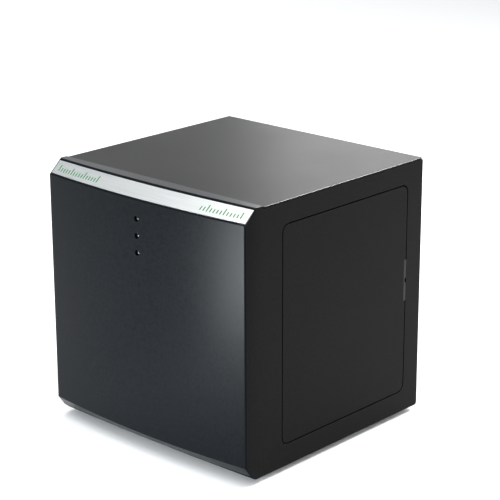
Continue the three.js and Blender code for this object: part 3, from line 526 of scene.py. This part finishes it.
def add_prism(bm, outline, place, low, high, hole=None):
    """An outline in place's XY, from low to high on its Z. With a hole of as many points, a hollow rim."""
    def loop(points, height):
        return [bm.verts.new(place @ Vector((x, y, height))) for x, y in points]

    bottom, top = loop(outline, low), loop(outline, high)
    band(bm, bottom, top)
    if hole:
        inner_bottom, inner_top = loop(hole, low), loop(hole, high)
        band(bm, inner_bottom, inner_top)
        band(bm, bottom, inner_bottom)
        band(bm, top, inner_top)
    else:
        bm.faces.new(bottom)
        bm.faces.new(top)


def rounded(points, radius, steps=4):
    """The outline with each of its corners drawn as a short curve."""
    out = []
    for i, point in enumerate(points):
        corner = Vector(point)
        before = (Vector(points[i - 1]) - corner).normalized() * radius + corner
        after = (Vector(points[(i + 1) % len(points)]) - corner).normalized() * radius + corner
        for k in range(steps + 1):
            t = k / steps
            out.append(tuple(before * (1 - t) ** 2 + corner * 2 * t * (1 - t) + after * t * t))
    return out


def loose(bm, name):
    """A plain object from a bmesh, for use in a cut."""
    return linked(name, mesh_of(bm, name))


def carve(body, cutters):
    """The body's mesh with each cutter taken out of it. The objects themselves are removed."""
    for cutter in cutters:
        modifier = body.modifiers.new("cut", "BOOLEAN")
        modifier.object = cutter
        modifier.solver = "EXACT"
    bpy.context.view_layer.update()
    mesh = bpy.data.meshes.new_from_object(body.evaluated_get(bpy.context.evaluated_depsgraph_get()))
    for used in (body, *cutters):
        bpy.data.objects.remove(used)
    return mesh


# ---- front cap, trim and lamps
def bow(share, depth):
    return depth * (1 - share * share)


def bowed_block(half_width, levels, back_y, roll=0.0, columns=72):
    """A block with a flat back and a bowed front. Levels, from the bottom up: (z, y at the sides, bow).
    Its upright side edges are rolled to a radius, or sharp when roll is 0."""
    bm = bmesh.new()
    flat = half_width - roll
    line = [(flat * (2 * i / columns - 1), 0.0) for i in range(columns + 1)]
    if roll:
        turn = [(flat + roll * math.sin(a), roll * (1 - math.cos(a)))
                for a in (math.radians(15 * k) for k in range(1, 7))]
        line = [(-x, back) for x, back in reversed(turn)] + line + turn
    columns = len(line) - 1
    front = [[bm.verts.new((x, y - bow(x / half_width, depth) + back, z)) for x, back in line]
             for z, y, depth in levels]
    back = [[bm.verts.new((x, back_y, z)) for x, _ in line] for z, _, _ in levels]
    for i in range(columns):
        for sheet in (front, back):
            for low, high in zip(sheet, sheet[1:]):
                bm.faces.new((low[i], low[i + 1], high[i + 1], high[i]))
        for row in (0, -1):
            bm.faces.new((front[row][i], front[row][i + 1], back[row][i + 1], back[row][i]))
    for i in (0, columns):
        for k in range(len(levels) - 1):
            bm.faces.new((front[k][i], front[k + 1][i], back[k + 1][i], back[k][i]))
    return bm


def cap_levels(wall=0.0):
    """The cap's outside, with the sill's swell, or with a wall its inside."""
    slant = wall * math.sqrt(2)
    levels = [
        (CAP_BOTTOM + wall, FACE_SIDE_Y + BASE_RUN * (1 - wall / BASE_RISE) + slant, SILL_BOW),
        (CAP_BOTTOM + BASE_RISE + slant - wall, FACE_SIDE_Y + wall, FACE_BOW),
        (CAP_TOP - TOP_RISE - slant + wall, FACE_SIDE_Y + wall, FACE_BOW),
        (CAP_TOP - wall, FACE_SIDE_Y + TOP_RUN * (1 - wall / TOP_RISE) + slant, LIP_BOW),
    ]
    if not wall:
        rise, run = BASE_RISE * SILL_SHARE, BASE_RUN * (1 - SILL_SHARE)
        levels.insert(1, (CAP_BOTTOM + rise, FACE_SIDE_Y + run - SILL_SWELL,
                          SILL_BOW + (FACE_BOW - SILL_BOW) * SILL_SHARE))
    return levels


def chamfer_point(x, up, depth):
    """A point on the top chamfer: up is the share of the way up it, depth is inwards from its surface."""
    share = x / HALF_WIDTH
    low_y = FACE_SIDE_Y - bow(share, FACE_BOW)
    run = FACE_SIDE_Y + TOP_RUN - bow(share, LIP_BOW) - low_y
    length = math.hypot(run, TOP_RISE)
    return Vector((x, low_y + run * up + depth * TOP_RISE / length,
                   CAP_TOP - TOP_RISE * (1 - up) - depth * run / length))


def chamfer_slab(bm, x_span, up_span, depth_span, columns=72):
    """A slab that follows the bowed top chamfer, between two x's, two shares of the way up and two depths."""
    rows = []
    for i in range(columns + 1):
        x = x_span[0] + (x_span[1] - x_span[0]) * i / columns
        corners = [(up_span[0], depth_span[0]), (up_span[1], depth_span[0]),
                   (up_span[1], depth_span[1]), (up_span[0], depth_span[1])]
        rows.append([bm.verts.new(chamfer_point(x, up, depth)) for up, depth in corners])
    for left, right in zip(rows, rows[1:]):
        band(bm, left, right)
    bm.faces.new(rows[0])
    bm.faces.new(rows[-1])


def finish_cap_sides(mesh):
    """The flat sides match the side panels. The rolled side edges and the sill's underside take the sheenless
    black, as painted shade.
    """
    mesh.materials.append(looks["painted_shade_black"])
    mesh.materials.append(looks["panel_paint"])
    rolled, flat_side = 1, 2
    chamfer_low, sill_high = CAP_TOP - TOP_RISE, CAP_BOTTOM + BASE_RISE * SILL_SHARE
    for face in mesh.polygons:
        sideways, outwards = abs(face.normal.x), face.normal.y < -0.2
        at_side = abs(face.center.x) > HALF_WIDTH - ROLL
        turned = at_side and sideways > 0.4 and face.center.z < chamfer_low
        # Painted reflection: only the front keeps the cap's blue tint; the flat sides take the neutral panel
        # paint.
        if at_side and sideways > 0.995:
            face.material_index = flat_side
        # Painted shade: these faces take the sheenless copy of the black.
        elif outwards and (turned or face.center.z < sill_high):
            face.material_index = rolled


def add_front_cap():
    shell = loose(bowed_block(HALF_WIDTH, cap_levels(), CAP_BACK, ROLL), "cap_shell")
    inside = bowed_block(HALF_WIDTH - CAP_WALL, cap_levels(CAP_WALL), CAP_BACK + CAP_WALL)
    recess = bmesh.new()
    half = HALF_WIDTH - RECESS_MARGIN
    chamfer_slab(recess, (-half, half), RECESS_UP, RECESS_DEPTH)
    cutters = [loose(inside, "cap_hollow"), loose(recess, "trim_recess")]
    front_y = CAP_BOX[0][1]
    for lamp in LAMPS:
        bm = bmesh.new()
        spot = middle(lamp)
        add_rod(bm, (spot.x, front_y - CAP_WALL, spot.z), (spot.x, FACE_SIDE_Y, spot.z), LAMP_HOLE, 40)
        cutters.append(loose(bm, lamp + "_hole"))
    cap = piece("front_cap", carve(shell, cutters), "cap_plastic", smooth=18)
    finish_cap_sides(cap.data)
    soften(cap, 0.22 * MM, 2, 24)
    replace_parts(cap, "front_bezel")
    posts = bmesh.new()
    board_low, board_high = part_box("indicator_board")
    inset = 4 * MM
    for x in (-6.5 * MM, 6.5 * MM):
        for z in (board_low[2] + inset, board_high[2] - inset):
            add_rod(posts, (x, front_y + CAP_WALL, z), (x, board_low[1] - 0.3 * MM, z), 2.4 * MM)
    piece("cap_posts", posts, "cap_plastic", smooth=40, bevel=0.2 * MM)


def add_trim():
    """The bright inlay, with plain graduation ticks printed at both ends."""
    bm = bmesh.new()
    half = HALF_WIDTH - TRIM_MARGIN
    chamfer_slab(bm, (-half, half), TRIM_UP, TRIM_DEPTH)
    strip = piece("trim_inlay", bm, "trim_silver", smooth=30, bevel=0.12 * MM)
    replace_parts(strip, "trim_strip")
    ticks = bmesh.new()
    left, right = -half + TICK_MARGIN, half - TICK_MARGIN
    for start, step, count in ((left, TICK_PITCH, 16), (right, -TICK_PITCH, 13)):
        for i in range(count):
            x = start + step * i
            high = LONG_TICK_HIGH if i % 5 == 0 else TICK_HIGH
            chamfer_slab(ticks, (x - TICK_HALF_WIDTH, x + TICK_HALF_WIDTH), (TICK_LOW, high), TICK_DEPTH, 1)
    piece("trim_ticks", ticks, "ink_green")


def add_lamps():
    radius, flange, flange_depth, steps = 2.4 * MM, 2.85 * MM, 1 * MM, 8
    for name in LAMPS:
        low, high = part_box(name)
        spot = middle(name)
        length = high[1] - low[1]
        straight = length - radius
        dome = [(radius * math.cos(a), straight + radius * math.sin(a))
                for a in (math.pi / 2 * i / steps for i in range(1, steps))]
        profile = [(0, 0), (flange, 0), (flange, flange_depth), (radius, flange_depth), (radius, straight),
                   *dome, (0, length)]
        bm = bmesh.new()
        add_lathe(bm, profile, facing((spot.x, high[1], spot.z), FORWARDS))
        lamp = piece(name.replace("lamp", "lens"), bm, "lamp_plastic", smooth=40)
        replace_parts(lamp, name)


# ---- rear panel
def d_outline(length, width, slant, inset=0.0):
    """A D connector's outline, upright, with rounded corners."""
    half, side = length / 2 - inset, width / 2 - inset
    corners = [(side, -half), (side, half), (-side, half - slant), (-side, -half + slant)]
    return rounded(corners, 1.3 * MM)


def add_d_connector(node, length, rows, post_gap, pins_across):
    """A D connector in place of its CAD node: screw flange, hollow shell, insulator, pins and jack posts.
    An upright one's flange is let into its bracket, and a level one's lies on the rear panel."""
    low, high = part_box(node)
    spot = middle(node)
    upright = high[2] - low[2] > high[0] - low[0]
    place = facing((spot.x, 0, spot.z), REAR_OUT)
    across, along = high[0] - low[0], high[2] - low[2]
    if not upright:
        place = place @ Matrix.Rotation(math.pi / 2, 4, "Z")
        across, along = along, across
    width, slant, thick = 8.3 * MM, 1.5 * MM, 1 * MM
    root = REAR_FACE if upright else REAR_FACE + 0.3 * MM
    flange_back, flange_front = (root - thick, root) if upright else (root, root + thick)
    shell_end = high[1]
    metal, plastic, pins = bmesh.new(), bmesh.new(), bmesh.new()
    wide, tall = across / 2, along / 2
    plate = rounded([(-wide, -tall), (wide, -tall), (wide, tall), (-wide, tall)], 1 * MM)
    add_prism(metal, plate, place, flange_back, flange_front)
    add_prism(metal, d_outline(length, width, slant), place, root, shell_end,
              d_outline(length, width, slant, 0.5 * MM))
    add_prism(plastic, d_outline(length, width, slant, 0.55 * MM), place, low[1], root + 1.6 * MM)
    pitch = (length - 6 * MM) / pins_across
    for row in range(rows):
        count = pins_across - row % 2
        x = (row - (rows - 1) / 2) * 2 * MM
        for k in range(count):
            y = (k - (count - 1) / 2) * pitch
            start, end = place @ Vector((x, y, root + 1 * MM)), place @ Vector((x, y, shell_end - 0.8 * MM))
            add_rod(pins, start, end, 0.38 * MM, 8, 0.24 * MM)
    post = in_mm((0, 0), (2.7, 0), (2.7, 4), (2.4, 4.4), (1.2, 4.4), (1.2, 1.5), (0, 1.5))
    for side in (-1, 1):
        foot = place @ Vector((0, side * (length / 2 + post_gap), flange_front))
        add_lathe(metal, post, facing(foot, REAR_OUT), 6)
    shell = piece(node + "_shell", metal, "bare_steel", smooth=40, bevel=0.1 * MM)
    piece(node + "_insulator", plastic, "black_plastic", smooth=40, bevel=0.1 * MM)
    piece(node + "_contacts", pins, "pin_brass", smooth=40)
    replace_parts(shell, node)


def add_rear_screws():
    screws = bmesh.new()
    low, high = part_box("rear_panel")
    inset = 4 * MM
    for x in (low[0] + inset, high[0] - inset):
        for z in (low[2] + inset, middle("rear_panel").z, high[2] - inset):
            add_screw(screws, (x, REAR_FACE, z), REAR_OUT)
    for x in (-10 * MM, 52 * MM):
        add_screw(screws, (x, REAR_FACE, high[2] - inset), REAR_OUT)
    for i in (1, 2, 3):
        low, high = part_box(f"card_bracket_{i}")
        for z in (low[2] + 5 * MM, high[2] - 5 * MM):
            add_screw(screws, (middle(f"card_bracket_{i}").x, high[1], z), REAR_OUT)
    piece("rear_screws", screws, "bare_steel", smooth=35)


def add_connectors():
    flange_ends = 14 * MM
    for node, pins_across in (("drive_connector_1", 15), ("drive_connector_2", 15), ("drive_connector_3", 9)):
        low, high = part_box(node)
        add_d_connector(node, high[2] - low[2] - flange_ends, 3, 4.2 * MM, pins_across)
    add_d_connector("serial_connector", 17 * MM, 2, 4 * MM, 5)


def add_earth_stud():
    """A washer, a hexagon nut and the end of a threaded stud."""
    bm = bmesh.new()
    place = facing((-52 * MM, REAR_FACE, 22 * MM), REAR_OUT)
    radius, groove, half_pitch, turns = 2 * MM, 0.18 * MM, 0.4 * MM, 15
    add_lathe(bm, in_mm((0, 0), (5, 0), (5, 0.8), (0, 0.8)), place)
    add_lathe(bm, in_mm((0, 0.8), (4, 0.8), (4, 3.2), (3.6, 3.6), (0, 3.6)), place, 6)
    thread = [(radius - groove * (k % 2), k * half_pitch) for k in range(turns)]
    add_lathe(bm, [(0, 0), *thread, (0, 5.7 * MM)], place, 20)
    piece("earth_stud", bm, "bare_steel", smooth=35)


def add_usb_contacts():
    """Four contacts above and four below the socket's tongue."""
    bm = bmesh.new()
    spot = middle("usb_socket")
    half, thin, pitch, off = 0.3 * MM, 0.08 * MM, 1.2 * MM, 1.62 * MM
    inner, outer = REAR_FACE - 7 * MM, REAR_FACE + 0.6 * MM
    for k in range(4):
        x = spot.x + (k - 1.5) * pitch
        for side in (-1, 1):
            z = spot.z + side * off
            add_box(bm, (x - half, inner, z - thin), (x + half, outer, z + thin))
    piece("usb_contacts", bm, "pin_brass")


def add_rocker_marks():
    """A bar on the end that is pressed in and a ring on the other, printed on the rocker's faces."""
    marks = bmesh.new()
    rest_tilt, lean = math.radians(7), math.atan2(1.6, 9)
    reach, skin = 5.2 * MM, 3.98 * MM  # along the rocker from its middle, and out to its face there
    sunk, proud = -0.2 * MM, 0.06 * MM
    bar = rounded(in_mm((-0.35, -1.8), (0.35, -1.8), (0.35, 1.8), (-0.35, 1.8)), 0.2 * MM)
    ring = [(1.2 * MM, sunk), (1.9 * MM, sunk), (1.9 * MM, proud), (1.2 * MM, proud)]
    tilted = Matrix.Translation(middle("power_rocker")) @ Matrix.Rotation(rest_tilt, 4, "X")
    for side in (1, -1):
        face = tilted @ Matrix.Translation((0, skin, side * reach)) @ Matrix.Rotation(side * lean, 4, "X")
        out = face @ Matrix.Rotation(-math.pi / 2, 4, "X")
        if side > 0:
            add_prism(marks, bar, out, sunk, proud)
        else:
            add_lathe(marks, ring, out, 32, closed=True)
    piece("rocker_marks", marks, "ink_white", body="power_rocker")


# ---- fan
HUB, BLADE_TIP, BLADES = 16 * MM, 36.3 * MM, 7
BLADE_ROOT = HUB * 0.97
CHORD, CAMBER, HALF_THICKNESS = 16 * MM, 1.3 * MM, 0.55 * MM
ROOT_TWIST, TWIST_LOST = 50, 18  # degrees, at the root and lost by the tip
BLADE_STEPS_OUT, BLADE_STEPS_ALONG = 7, 8


def blade_side(bm, place, depth, turn, offset):
    """One side of a blade: rows of points from root to tip, each along the chord."""
    clear = 0.6 * MM
    grid = []
    for i in range(BLADE_STEPS_OUT + 1):
        share = i / BLADE_STEPS_OUT
        radius = BLADE_ROOT + (BLADE_TIP - BLADE_ROOT) * share
        twist = math.radians(ROOT_TWIST - TWIST_LOST * share)
        row = []
        for j in range(BLADE_STEPS_ALONG + 1):
            along = (j / BLADE_STEPS_ALONG - 0.5) * CHORD
            rise = CAMBER * (1 - (2 * j / BLADE_STEPS_ALONG - 1) ** 2) + offset
            angle = turn + (along * math.cos(twist) - rise * math.sin(twist)) / radius
            height = depth / 2 + along * math.sin(twist) + rise * math.cos(twist)
            height = min(max(height, clear), depth - clear)
            spot = Vector((radius * math.cos(angle), radius * math.sin(angle), height))
            row.append(bm.verts.new(place @ spot))
        grid.append(row)
    return grid


def add_impeller(axis):
    low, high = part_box("fan_rotor")
    place = facing((axis.x, low[1], axis.z), REAR_OUT)
    depth = high[1] - low[1]
    sunk = depth - 0.5 * MM
    bm = bmesh.new()
    add_lathe(bm, [(0, 0), (HUB * 0.96, 0), (HUB, 0.8 * MM), (HUB, depth - 1.2 * MM), (HUB * 0.94, depth),
                   (9 * MM, depth), (8.6 * MM, sunk), (0, sunk)], place, 48)
    for blade in range(BLADES):
        turn = 2 * math.pi * blade / BLADES
        back, front = (blade_side(bm, place, depth, turn, side) for side in (-HALF_THICKNESS, HALF_THICKNESS))
        for grid in (back, front):
            for lower, upper in zip(grid, grid[1:]):
                for j in range(BLADE_STEPS_ALONG):
                    bm.faces.new((lower[j], lower[j + 1], upper[j + 1], upper[j]))
        for j in range(BLADE_STEPS_ALONG):
            for i in (0, -1):
                bm.faces.new((back[i][j], back[i][j + 1], front[i][j + 1], front[i][j]))
        for i in range(BLADE_STEPS_OUT):
            for j in (0, -1):
                bm.faces.new((back[i][j], back[i + 1][j], front[i + 1][j], front[i][j]))
    blades = piece("fan_impeller", bm, "black_plastic", body="fan_rotor", smooth=40)
    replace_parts(blades, "fan_rotor")


def add_finger_guard(axis):
    """Wire hoops on four spokes, each ending in an eye under a screw."""
    guard, screws = bmesh.new(), bmesh.new()
    low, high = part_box("fan_guard")
    wire, corner, inner_hoop, eye_height = 0.9 * MM, 35.75 * MM, 13 * MM, 1.6 * MM
    for radius in (inner_hoop, 24 * MM, 35 * MM):
        section = [(radius + wire * math.cos(a), wire * math.sin(a))
                   for a in (math.pi * k / 5 for k in range(10))]
        add_lathe(guard, section, facing((axis.x, high[1] - wire, axis.z), REAR_OUT), 64, closed=True)
    eye_section = [(2 * MM, 0), (3.8 * MM, 0), (3.8 * MM, eye_height), (2 * MM, eye_height)]
    middle_y = Vector((axis.x, low[1], axis.z))
    for sx in (-1, 1):
        for sz in (-1, 1):
            eye = middle_y + Vector((sx * corner, 0, sz * corner))
            add_lathe(guard, eye_section, facing(eye, REAR_OUT), 28, closed=True)
            start = middle_y + Vector((sx * inner_hoop / math.sqrt(2), wire, sz * inner_hoop / math.sqrt(2)))
            add_rod(guard, start, eye + Vector((-sx * 2.2 * MM, wire, -sz * 2.2 * MM)), wire, 12)
            add_screw(screws, eye + Vector((0, eye_height, 0)), REAR_OUT, 3.2 * MM, 1.8 * MM)
    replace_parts(piece("fan_finger_guard", guard, "bare_steel", smooth=40), "fan_guard")
    piece("fan_screws", screws, "bare_steel", smooth=35)


# ---- underside
def add_underside():
    """Moulded feet with a screw up in each, and the base plate's screws."""
    screws = bmesh.new()
    screw_seat = 1.8 * MM
    profile = in_mm((0, 1.8), (3.4, 1.8), (3.6, 1.6), (3.6, 0.2), (3.8, 0), (7.2, 0), (7.6, 0.15), (8.5, 1),
                    (8.8, 2.5), (9, 4.4), (8.8, 4.7), (0, 4.7))
    for end in ("front", "rear"):
        for side in ("left", "right"):
            node = f"foot_{end}_{side}"
            spot = middle(node)
            foot = bmesh.new()
            add_lathe(foot, profile, Matrix.Translation((spot.x, spot.y, 0)), 48)
            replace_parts(piece(node + "_moulded", foot, "foot_rubber", smooth=30), node)
            add_screw(screws, (spot.x, spot.y, screw_seat), DOWN, 2.8 * MM, 1.2 * MM)
    low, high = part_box("base_plate")
    inset, middle_y = 5 * MM, middle("base_plate").y
    for x in (low[0] + inset, 0, high[0] - inset):
        for y in (low[1] + inset, middle_y, high[1] - inset):
            if x or y != middle_y:
                add_screw(screws, (x, y, low[2]), DOWN)
    piece("base_screws", screws, "bare_steel", smooth=35)


# ---- boards and wiring
# Chips (u, v, width, length) and capacitors (u, v), in millimetres from the board's corner.
CARD_CHIPS = ((18, 40, 7.5, 18), (18, 70, 7.5, 12), (42, 46, 14, 14), (70, 44, 10, 22), (96, 40, 5.3, 12),
              (18, 100, 7.5, 12), (96, 62, 5.3, 12), (88, 124, 7.5, 16))
CARD_CANS = ((90, 82), (104, 82), (90, 98), (104, 98))
MAIN_CHIPS = ((70, 30, 24, 24), (100, 28, 8, 18), (120, 28, 8, 18), (126, 70, 8, 14), (126, 100, 8, 14),
              (22, 70, 8, 14), (56, 120, 5.3, 12), (90, 120, 5.3, 12))
MAIN_CANS = ((14, 30), (14, 44), (126, 128), (126, 142), (126, 156))


class Kit:
    """Small electronic parts, gathered by finish, and set out on one board."""

    def __init__(self, name, place):
        self.name, self.place = name, place
        self.parts = {}
        self.taken = []  # full rectangles: u from and to, v from and to

    def mesh(self, look):
        return self.parts.setdefault(look, bmesh.new())

    def spot(self, u, v):
        return self.place @ Matrix.Translation((u, v, 0))

    def keep(self, u, v, width, length):
        self.taken.append((u - width / 2, u + width / 2, v - length / 2, v + length / 2))

    def chip(self, u, v, width, length, height):
        """A resin package with a row of legs along both long sides."""
        here = self.spot(u, v)
        gap, pitch, leg, leg_half, leg_height = 0.25 * MM, 1.27 * MM, 0.8 * MM, 0.2 * MM, 0.3 * MM
        body = self.mesh("black_plastic")
        add_box(body, (-width / 2, -length / 2, gap), (width / 2, length / 2, height), here)
        count = int((length - pitch) / pitch)
        for k in range(count):
            at = (k - (count - 1) / 2) * pitch
            for side in (-1, 1):
                xs = sorted((side * width / 2, side * (width / 2 + leg)))
                low, high = (xs[0], at - leg_half, 0), (xs[1], at + leg_half, leg_height)
                add_box(self.mesh("bare_steel"), low, high, here)

    def can(self, u, v, radius, height):
        """An electrolytic capacitor: sleeve with a rolled neck, and a bare top."""
        here = self.spot(u, v)
        sleeve_profile = [(0, 0), (radius, 0), (radius, 1 * MM), (radius * 0.93, 1.5 * MM), (radius, 2 * MM),
                          (radius, height - 0.4 * MM), (radius * 0.9, height), (0, height)]
        add_lathe(self.mesh("sleeve_blue"), sleeve_profile, here, 28)
        top, low, high = radius * 0.78, height - 0.1 * MM, height + 0.12 * MM
        add_lathe(self.mesh("rail_aluminium"), [(0, low), (top, low), (top, high), (0, high)], here, 28)

    def chips(self, places, height):
        legs = 3
        for u, v, width, length in places:
            self.chip(u * MM, v * MM, width * MM, length * MM, height)
            self.keep(u * MM, v * MM, (width + legs) * MM, length * MM)

    def cans(self, places, radius, height):
        for u, v in places:
            self.can(u * MM, v * MM, radius * MM, height * MM)
            self.keep(u * MM, v * MM, 2 * radius * MM, 2 * radius * MM)

    def grain(self, u, v):
        """A chip resistor or capacitor with tinned ends."""
        here = self.spot(u, v) @ Matrix.Rotation(random.choice((0, math.pi / 2)), 4, "Z")
        low, high = in_mm((-0.7, -0.55, 0), (0.7, 0.55, 0.6))
        add_box(self.mesh("ceramic_tan"), low, high, here)
        for side in (-1, 1):
            xs = sorted((side * 0.7 * MM, side * 1.1 * MM))
            add_box(self.mesh("bare_steel"), (xs[0], -0.58 * MM, 0), (xs[1], 0.58 * MM, 0.63 * MM), here)

    def header(self, u, v, pins):
        """A pin header: a black strip with two rows of square posts."""
        here = self.spot(u, v)
        rows, pitch, half, low, high = 2, 2.54 * MM, 0.32 * MM, 2 * MM, 8 * MM
        wide, deep = pins * pitch, rows * pitch
        add_box(self.mesh("black_plastic"), (-wide / 2, -deep / 2, 0), (wide / 2, deep / 2, 2.5 * MM), here)
        for i in range(pins):
            for j in range(rows):
                x, y = (i - (pins - 1) / 2) * pitch, (j - (rows - 1) / 2) * pitch
                add_box(self.mesh("pin_brass"), (x - half, y - half, low), (x + half, y + half, high), here)

    def scatter(self, count, u_span, v_span):
        """Chip resistors on a grid of free places."""
        step = 2.6 * MM
        places = []
        for i in range(int((u_span[1] - u_span[0]) / step)):
            for j in range(int((v_span[1] - v_span[0]) / step)):
                u, v = u_span[0] + (i + 0.5) * step, v_span[0] + (j + 0.5) * step
                if not any(a - step < u < b + step and c - step < v < d + step for a, b, c, d in self.taken):
                    places.append((u, v))
        for u, v in random.sample(places, min(count, len(places))):
            self.grain(u, v)

    def finish(self):
        for look, bm in self.parts.items():
            piece(f"{self.name}_{look}", bm, look, smooth=35)


def add_card_parts(i):
    """Parts on a card's right face: u runs back along it and v up."""
    low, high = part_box(f"drive_card_{i}")
    face = Matrix(((0, 0, 1, high[0]), (1, 0, 0, low[1]), (0, 1, 0, low[2]), (0, 0, 0, 1)))
    kit = Kit(f"drive_card_{i}", face)
    sink_low, sink_high = (Vector(corner) - Vector(low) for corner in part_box(f"card_heatsink_{i}"))
    kit.taken.append((sink_low.y, sink_high.y, sink_low.z, sink_high.z))
    kit.chips(CARD_CHIPS, 1.6 * MM)
    kit.cans(CARD_CANS, 5, 13)
    kit.header(30 * MM, 128 * MM, 6)
    kit.keep(30 * MM, 128 * MM, 16 * MM, 6 * MM)
    kit.scatter(90, (8 * MM, 122 * MM), (26 * MM, 134 * MM))
    kit.finish()


def add_main_board_parts():
    """Parts on the main board: u runs to the right and v back. The cards' sockets and the plugs stay free."""
    low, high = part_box("main_board")
    top = low[2] + 1.6 * MM
    kit = Kit("main_board", Matrix.Translation((low[0], low[1], top)))
    kit.taken += in_mm(*((x - 8, x + 8, 52, 160) for x in (38, 72, 106)),
                       (26, 50, 0, 20), (48, 106, 168, 190))
    kit.chips(MAIN_CHIPS, 1.9 * MM)
    kit.cans(MAIN_CANS, 4, 10)
    kit.header(16 * MM, 100 * MM, 5)
    kit.keep(16 * MM, 100 * MM, 14 * MM, 6 * MM)
    kit.scatter(110, (6 * MM, 136 * MM), (6 * MM, 184 * MM))
    kit.finish()
    screws = bmesh.new()
    for x in (low[0] + 6 * MM, high[0] - 14 * MM):
        for y in (low[1] + 6 * MM, high[1] - 6 * MM):
            add_screw(screws, (x, y, top), UP)
    piece("board_screws", screws, "bare_steel", smooth=35)


def curve_through(points, per_span=8):
    """Points on a smooth Catmull-Rom line through the given ones."""
    points = [Vector(p) for p in points]
    ends = [2 * points[0] - points[1], *points, 2 * points[-1] - points[-2]]
    line = []
    for a, b, c, d in zip(ends, ends[1:], ends[2:], ends[3:]):
        for k in range(per_span):
            t = k / per_span
            square, cube = 2 * a - 5 * b + 4 * c - d, 3 * b - a - 3 * c + d
            line.append(0.5 * (2 * b + (c - a) * t + square * t * t + cube * t ** 3))
    return line + [points[-1]]


def add_bundle(node, route, wires, gap):
    """Wires twisted a little round a route, in place of the CAD's single lead."""
    line = curve_through(route)
    radius, twist = 1 * MM, 1.2
    for k, look in enumerate(wires):
        shift = 2 * math.pi * k / len(wires)
        across = (line[1] - line[0]).orthogonal().normalized()
        path = []
        for i, point in enumerate(line):
            along = (line[min(i + 1, len(line) - 1)] - line[max(i - 1, 0)]).normalized()
            across = (across - along * across.dot(along)).normalized()
            other = along.cross(across)
            angle = shift + twist * i / len(line)
            path.append(point + gap * (across * math.cos(angle) + other * math.sin(angle)))
        bm = bmesh.new()
        add_tube(bm, path, radius)
        wire = piece(f"{node}_{look}", bm, look, smooth=40)
        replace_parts(wire, node)


def add_wiring():
    """The leads from the switch to the power supply and from there to the main board."""
    mains = in_mm((-84, 79.8, 58), (-78, 71.8, 68), (-78, 69.8, 86), (-84, 91.8, 100))
    supply = in_mm((-66, 62, 48.8), (-64, 62, 66.8), (-40, 58, 68.8), (-28, 54, 44), (-26, 54, 20.6))
    add_bundle("mains_lead", mains, ("wire_brown", "wire_blue", "wire_green"), 1.17 * MM)
    add_bundle("supply_lead", supply, ("wire_red", "cable_black", "wire_blue", "wire_brown"), 1.45 * MM)


def add_supply_terminals():
    """A barrier strip with a screw between each pair of walls."""
    low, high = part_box("power_supply")
    strip, screws = bmesh.new(), bmesh.new()
    pitch, half_wall = 6 * MM, 0.6 * MM
    floor, rear = high[2] - 16 * MM, high[1] - 12 * MM
    for k in range(6):
        x = low[0] + 12 * MM + k * pitch
        add_box(strip, (x - half_wall, rear + 1 * MM, floor), (x + half_wall, rear + 10 * MM, floor + 9 * MM))
        if k < 5:
            add_screw(screws, (x + pitch / 2, rear + 5 * MM, floor + 5 * MM), UP, 1.9 * MM, 1.6 * MM)
    add_box(strip, (low[0] + 10 * MM, rear + 0.4 * MM, floor),
            (low[0] + 44 * MM, rear + 10.5 * MM, floor + 5 * MM))
    piece("supply_terminals", strip, "black_plastic", bevel=0.2 * MM)
    piece("supply_screws", screws, "pin_brass", smooth=35)


def add_ribbon_plug():
    """A stepped plug round the ribbon's lower end."""
    bm = bmesh.new()
    low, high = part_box("indicator_ribbon")
    turn_y = high[1] - 0.5 * MM
    bottom = low[2]
    for half_width, half_depth, rise in in_mm((7.5, 2.4, 5), (6.9, 1.8, 2)):
        add_box(bm, (-half_width, turn_y - half_depth, bottom),
                (half_width, turn_y + half_depth, bottom + rise))
        bottom += rise
    piece("ribbon_plug", bm, "black_plastic", bevel=0.25 * MM)


def add_hinge_rivets():
    bm = bmesh.new()
    from_end, from_side = 3.2 * MM, 3.6 * MM
    for node in ("hinge_bracket_upper", "hinge_bracket_lower"):
        low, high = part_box(node)
        z = high[2] - from_end if "upper" in node else low[2] + from_end
        for y in (low[1] + from_side, high[1] - from_side):
            add_screw(bm, (high[0] - 1.5 * MM, y, z), LEFT, 2.3 * MM, 1.5 * MM)
    piece("hinge_rivets", bm, "bare_steel", smooth=35)


# ---- run
make_looks()
add_camera()
add_lights()
add_floor()
dress_cad_nodes()
add_front_cap()
add_trim()
add_lamps()
add_rear_screws()
add_connectors()
add_earth_stud()
add_usb_contacts()
add_rocker_marks()
add_impeller(middle("fan_frame"))
add_finger_guard(middle("fan_frame"))
add_underside()
for card in (1, 2, 3):
    add_card_parts(card)
add_main_board_parts()
add_wiring()
add_supply_terminals()
add_ribbon_plug()
add_hinge_rivets()

bpy.context.scene.view_settings.view_transform = "Standard"
